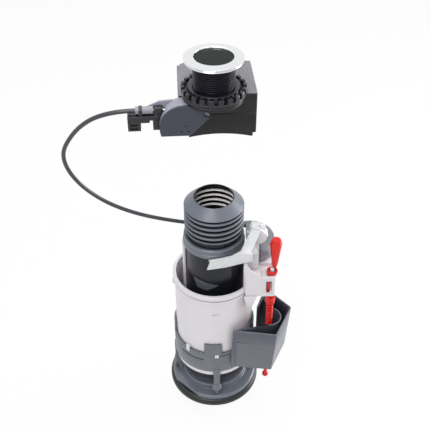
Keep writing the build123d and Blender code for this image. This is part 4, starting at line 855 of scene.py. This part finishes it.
# Cool mid grey, with painted highlights on its edges and painted shade in its slots
collar_acetal = moulded(
    "collar_acetal", "#6d7279", 0.38, flow=0.06, grain=0.06, edge_light=0.35, hollow_mm=2.5, hollow=0.85,
    **{"IOR": 1.48},
)
dress(collar_acetal, "bayonet_collar")
# Blue-grey with painted highlights on its edges and painted shade that deepens towards the seat
base_abs = moulded(
    "base_abs", "#6c717b", 0.32, flow=0.07, grain=0.07, edge_light=0.4, hollow_mm=16.0, hollow=0.7, **ABS,
)
dress(base_abs, "valve_base", "tube_cuff")
# Slate with painted highlights on its rims and painted shade inside
bucket_abs = moulded(
    "bucket_abs", "#565863", 0.26, flow=0.06, grain=0.09, edge_mm=0.5, edge_light=0.9, hollow_mm=24.0, hollow=0.62,
    **ABS,
)
dress(bucket_abs, "float_bucket")
# Clear signal red, with painted highlights on its edges and painted shade deep between the beads
red_acetal = moulded(
    "red_acetal", "#dc1e14", 0.34, flow=0.06, grain=0.04, edge_mm=0.12, edge_light=0.2, hollow_mm=2.2, hollow=0.9,
    **{"IOR": 1.45},
)
dress(red_acetal, "adjuster_rod")

# %% [markdown]
# ## Rubber seals
# The washer and the seal are nitrile rubber: black and slightly dusty, so that they never shine like the tube. A plain
# black would lose their form, so the same recipe is used with a coarser grain and a wide soft painted highlight on the
# edges.

# %% Nitrile rubber
# Dull black with a soft painted highlight on its edge
nitrile_rubber = moulded(
    "nitrile_rubber", "#090a0b", 0.42, flow=0.2, grain=0.16, grain_mm=0.8, edge_mm=0.6, edge_light=0.1,
)
dress(nitrile_rubber, "base_washer", "main_seal")

# %% [markdown]
# ## Painted shade on the bellows
# The bellows is a soft grey elastomer. The folds' crests and the cone face the light and keep the rubber's own pale
# grey. The grooves and the whole inside lie in shade, which is painted into the colour as near black, because little
# light gets in. This could be painted on as a map. The shader tells it from the form instead: crest from groove by the
# distance from the axis, outside from inside by which way the wall faces, and the cone by its height.

# %% Mask of the rubber outside the painted shade
CREST_R0, CREST_R1 = 27.0 * MM, 28.4 * MM
CONE_Z0, CONE_Z1 = 249.0 * MM, 249.8 * MM
FACING_IN, FACING_OUT = -0.25, 0.1
# Soft pale grey crests, with painted shade that makes the grooves and the inside nearly black
bellows_elastomer = empty_material("bellows_elastomer")
place = add(bellows_elastomer, "ShaderNodeTexCoord")
face = add(bellows_elastomer, "ShaderNodeNewGeometry")
across, radius = from_axis(bellows_elastomer, place)
away = add(bellows_elastomer, "ShaderNodeVectorMath", operation="NORMALIZE", links={0: across})
facing = add(
    bellows_elastomer, "ShaderNodeVectorMath", operation="DOT_PRODUCT",
    links={0: away.outputs[0], 1: face.outputs["Normal"]},
)
outer_wall = add(
    bellows_elastomer, "ShaderNodeMapRange", values={"From Min": FACING_IN, "From Max": FACING_OUT},
    links={"Value": facing.outputs["Value"]},
)
crest = add(
    bellows_elastomer, "ShaderNodeMapRange", values={"From Min": CREST_R0, "From Max": CREST_R1},
    links={"Value": radius},
)
height = add(bellows_elastomer, "ShaderNodeSeparateXYZ", links={0: place.outputs["Object"]})
cone = add(
    bellows_elastomer, "ShaderNodeMapRange", values={"From Min": CONE_Z0, "From Max": CONE_Z1},
    links={"Value": height.outputs["Z"]},
)
unshaded = add(
    bellows_elastomer, "ShaderNodeMath", operation="MAXIMUM", links={0: crest.outputs[0], 1: cone.outputs[0]},
)
unshaded = add(
    bellows_elastomer, "ShaderNodeMath", operation="MULTIPLY", links={0: unshaded.outputs[0], 1: outer_wall.outputs[0]},
)
print("clean rubber from", round(CREST_R0 / MM, 1), "mm out")

# %% [markdown]
# ## Rubber of the bellows
# The elastomer has a dry sheen and slow clouds of paler grey. The moulded recipe would paint a highlight on every crest
# as an edge, so this finish is put together by itself: clouds where the rubber is outside the painted shade, painted
# shade near black elsewhere, and a fine dust.

# %% Bellows finish
CLOUD_MM, DUST_MM = 9.0, 0.7
cloud = add(
    bellows_elastomer, "ShaderNodeTexNoise", values={"Scale": grain_scale(CLOUD_MM), "Detail": 3.0},
    links={"Vector": place.outputs["Object"]},
)
skin = add(
    bellows_elastomer, "ShaderNodeMix", data_type="RGBA", values={6: linear("#6a6e79"), 7: linear("#777b86")},
    links={0: cloud.outputs["Fac"]},
)
# Painted shade: near black wherever the mask leaves the rubber in the grooves or inside
skin = add(
    bellows_elastomer, "ShaderNodeMix", data_type="RGBA", values={6: linear("#17191c")},
    links={0: unshaded.outputs[0], 7: skin.outputs[2]},
)
dust = add(
    bellows_elastomer, "ShaderNodeTexNoise", values={"Scale": grain_scale(DUST_MM)},
    links={"Vector": place.outputs["Object"]},
)
relief = add(
    bellows_elastomer, "ShaderNodeBump", values={"Strength": 0.08, "Distance": RELIEF},
    links={"Height": dust.outputs["Fac"]},
)
rubber = add(
    bellows_elastomer, "ShaderNodeBsdfPrincipled", values={"Roughness": 0.38},
    links={"Base Color": skin.outputs[2], "Normal": relief.outputs[0]},
)
finish(bellows_elastomer, rubber.outputs[0])
dress(bellows_elastomer, "overflow_bellows")

# %% [markdown]
# ## Clear plastics
# The lever is clear polycarbonate with a frost from the tool, and the cable guide is the same plastic with a smoky
# tint. A see-through mix would only fade them out. Clear plastic shows its edges as pale and dark lines, which comes
# from refraction, so the shader lets a share of the light through at the plastic's own index, 1.58.

# %% Clear and smoky polycarbonate
FROST_MM, CLEAR_INDEX, RIPPLE = 7.0, 1.58, 0.03
HAZE_LOW, HAZE_HIGH = 0.6, 1.5  # share of the stated roughness


def clear(name, colour, roughness, through):
    """Clear moulded plastic with a light frost."""
    material = empty_material(name)
    place = add(material, "ShaderNodeTexCoord")
    frost = add(
        material, "ShaderNodeTexNoise", values={"Scale": grain_scale(FROST_MM), "Detail": 3.0},
        links={"Vector": place.outputs["Object"]},
    )
    haze = add(
        material, "ShaderNodeMapRange", values={"To Min": roughness * HAZE_LOW, "To Max": roughness * HAZE_HIGH},
        links={"Value": frost.outputs["Fac"]},
    )
    ripple = add(
        material, "ShaderNodeBump", values={"Strength": RIPPLE, "Distance": RELIEF},
        links={"Height": frost.outputs["Fac"]},
    )
    plastic = add(
        material, "ShaderNodeBsdfPrincipled",
        values={"Base Color": linear(colour), "Transmission Weight": through, "IOR": CLEAR_INDEX},
        links={"Roughness": haze.outputs[0], "Normal": ripple.outputs[0]},
    )
    return finish(material, plastic.outputs[0])


# Frosty white with glints of what lies behind
clear_polycarbonate = clear("clear_polycarbonate", "#fdfeff", 0.22, 0.36)
dress(clear_polycarbonate, "lift_lever")
# Smoke grey that stays soft
smoky_polycarbonate = clear("smoky_polycarbonate", "#9698a0", 0.45, 0.3)
dress(smoky_polycarbonate, "cable_guide")

# %% [markdown]
# ## Sensor housing
# The housing is black ABS with a coarse tool texture. Its top has a pale, speckled sheen where it faces the light, as
# textured black plastic has. A stronger lamp from above would bleach everything else, so the sheen is painted into the
# colour: it lies on faces that look up, in specks of about a millimetre.

# %% Housing with a painted sheen on top
SPECK_MM, SPECK_LOW, SPECK_HIGH, PAINTED_SHEEN_LEAST = 1.1, 0.35, 0.65, 0.55
UP_STARTS, UP_FULL = 0.6, 0.95
# Black below, with painted highlights on its edges and a painted sheen of misty lavender on top
housing_abs = moulded(
    "housing_abs", "#181817", 0.42, flow=0.12, grain=0.4, grain_mm=1.0, edge_light=0.15,
    **{"IOR": 1.53, "Specular IOR Level": 0.32},
)
housing_face = add(housing_abs, "ShaderNodeNewGeometry")
housing_normal = add(housing_abs, "ShaderNodeSeparateXYZ", links={0: housing_face.outputs["Normal"]})
upward = add(
    housing_abs, "ShaderNodeMapRange", values={"From Min": UP_STARTS, "From Max": UP_FULL},
    links={"Value": housing_normal.outputs["Z"]},
)
housing_place = add(housing_abs, "ShaderNodeTexCoord")
specks = add(
    housing_abs, "ShaderNodeTexNoise", values={"Scale": grain_scale(SPECK_MM), "Detail": 2.0},
    links={"Vector": housing_place.outputs["Object"]},
)
painted_sheen = add(
    housing_abs, "ShaderNodeMapRange",
    values={"From Min": SPECK_LOW, "From Max": SPECK_HIGH, "To Min": PAINTED_SHEEN_LEAST, "To Max": 1.0},
    links={"Value": specks.outputs["Fac"]},
)
painted_sheen = add(
    housing_abs, "ShaderNodeMath", operation="MULTIPLY", links={0: painted_sheen.outputs[0], 1: upward.outputs[0]},
)
# Painted sheen: pale lavender specks laid on the faces that look up
recoloured(housing_abs, painted_sheen.outputs[0], "#8a8890")
dress(housing_abs, "housing_cover", "housing_base")

# %% [markdown]
# ## Drive, arm and cable
# The drive's cover is a dark blue-grey, and its casing is painted a paler blue-grey, a painted sheen for the light from
# above. The arm that holds the cable is black with a coarse grain and painted highlights on its edges, and the cable's
# sheath is dark PVC. They could share one black. Seen close they differ in hue and shine, and the shine of the sheath
# draws the pale line along the top of the arc.

# %% Drive, ferrules, arm and sheath
# Dark slate face with painted highlights on its edges
drive_abs = moulded("drive_abs", "#343744", 0.4, flow=0.06, grain=0.08, edge_light=0.3, **ABS)
dress(drive_abs, "drum_cover")
# The cover's slate painted paler, a painted sheen for the light from above
casing_abs = moulded("casing_abs", "#9797a5", 0.36, flow=0.05, grain=0.08, **ABS)
dress(casing_abs, "drum_housing")
# Plain light grey
ferrule_nylon = moulded("ferrule_nylon", "#8f9098", 0.36, flow=0.05, grain=0.05, **{"IOR": 1.53})
dress(ferrule_nylon, "cable_ferrule_sensor", "cable_ferrule_valve")
# Grainy black with painted highlights on its edges
arm_abs = moulded("arm_abs", "#17171c", 0.38, flow=0.14, grain=0.2, grain_mm=0.9, edge_light=0.3, **ABS)
dress(arm_abs, "cable_arm", "cable_clip", "battery_tray")
# Charcoal with a soft line of shine
cable_pvc = moulded("cable_pvc", "#393a40", 0.3, flow=0.08, grain=0.06, grain_mm=0.5, edge_mm=0.1)
cable.data.materials.append(cable_pvc)
print(cable_pvc.name, "on", cable.name)

# %% [markdown]
# ## Barrel and nut
# The barrel is glossy black ABS, and its thread shows as fine light lines on the crests, which are painted highlights.
# The lock nut is the same plastic, with stronger painted highlights on its edges and painted shade in its notches. One
# finish on both would hide the notches.

# %% Barrel and lock nut
# Blue-black with painted highlights on the fine crests
barrel_abs = moulded(
    "barrel_abs", "#080714", 0.28, flow=0.15, grain=0.03, edge_mm=0.25, edge_light=0.6,
    **{"IOR": 1.53, "Specular IOR Level": 0.36},
)
dress(barrel_abs, "threaded_barrel")
# Black with painted highlights on its edges and painted shade deep in its notches
nut_abs = moulded(
    "nut_abs", "#15151e", 0.3, flow=0.15, grain=0.05, edge_mm=0.55, edge_light=1.0, hollow_mm=4.0, hollow=0.8, **ABS,
)
dress(nut_abs, "lock_nut")

# %% [markdown]
# ## Chrome and steel
# The bezel is chrome-plated plastic: a mirror with a hint of orange peel from the moulding under it. The wires, the
# shaft, the screws and the contacts are bare steel, and the motor's can is plated. A perfect mirror looks drawn, so
# a slow noise varies the roughness a little and bends the reflections.

# %% Plated and metal finishes
WEAR_LOW, WEAR_HIGH = 0.7, 1.4  # share of the stated roughness


def metal(name, colour, roughness, peel_mm, peel):
    """Metal skin with a slight waviness."""
    material = empty_material(name)
    place = add(material, "ShaderNodeTexCoord")
    waves = add(
        material, "ShaderNodeTexNoise", values={"Scale": grain_scale(peel_mm), "Detail": 2.0},
        links={"Vector": place.outputs["Object"]},
    )
    wear = add(
        material, "ShaderNodeMapRange", values={"To Min": roughness * WEAR_LOW, "To Max": roughness * WEAR_HIGH},
        links={"Value": waves.outputs["Fac"]},
    )
    relief = add(
        material, "ShaderNodeBump", values={"Strength": peel, "Distance": RELIEF},
        links={"Height": waves.outputs["Fac"]},
    )
    skin = add(
        material, "ShaderNodeBsdfPrincipled", values={"Base Color": linear(colour), "Metallic": 1.0},
        links={"Roughness": wear.outputs[0], "Normal": relief.outputs[0]},
    )
    return finish(material, skin.outputs[0])


# White mirror with crisp lines at its edge
chrome_plate = metal("chrome_plate", "#e9eaec", 0.07, 6.0, 0.02)
dress(chrome_plate, "bezel_ring")
# Grey drawn wire
wire_steel = metal("wire_steel", "#b9bbbf", 0.26, 1.0, 0.1)
dress(wire_steel, "push_wire_valve", "push_wire_sensor", "drive_shaft", "housing_screws", "battery_contacts")
# Dull silver can
motor_plate = metal("motor_plate", "#b4b4b6", 0.34, 2.0, 0.08)
dress(motor_plate, "gear_motor")

# %% [markdown]
# ## Window and electronics
# The window is smoked acrylic, which lets infrared through but looks black. It could be made clear over a dark box,
# but nothing behind it shows, so a dark plastic with a low shine does the same with less work. Boards, cells and
# diodes lie hidden in the housing and get plain finishes for when it is opened.

# %% Window, boards, cells and diodes
# Deep green-black
smoked_acrylic = moulded(
    "smoked_acrylic", "#0d1110", 0.1, flow=0.2, grain=0.0, edge_mm=0.3, **{"IOR": 1.49, "Specular IOR Level": 0.12},
)
dress(smoked_acrylic, "sensor_window")
# Green board
board_laminate = moulded("board_laminate", "#1f5a35", 0.35, flow=0.1, grain=0.1)
dress(board_laminate, "circuit_board", "sensor_board")
# Blue shrink film
cell_film = moulded("cell_film", "#37507f", 0.25, flow=0.08, grain=0.03)
dress(cell_film, "battery_1", "battery_2", "battery_3", "battery_4")
# Dark violet lens
diode_epoxy = moulded("diode_epoxy", "#2b2233", 0.12, flow=0.1, grain=0.0)
dress(diode_epoxy, "ir_emitter", "ir_receiver")
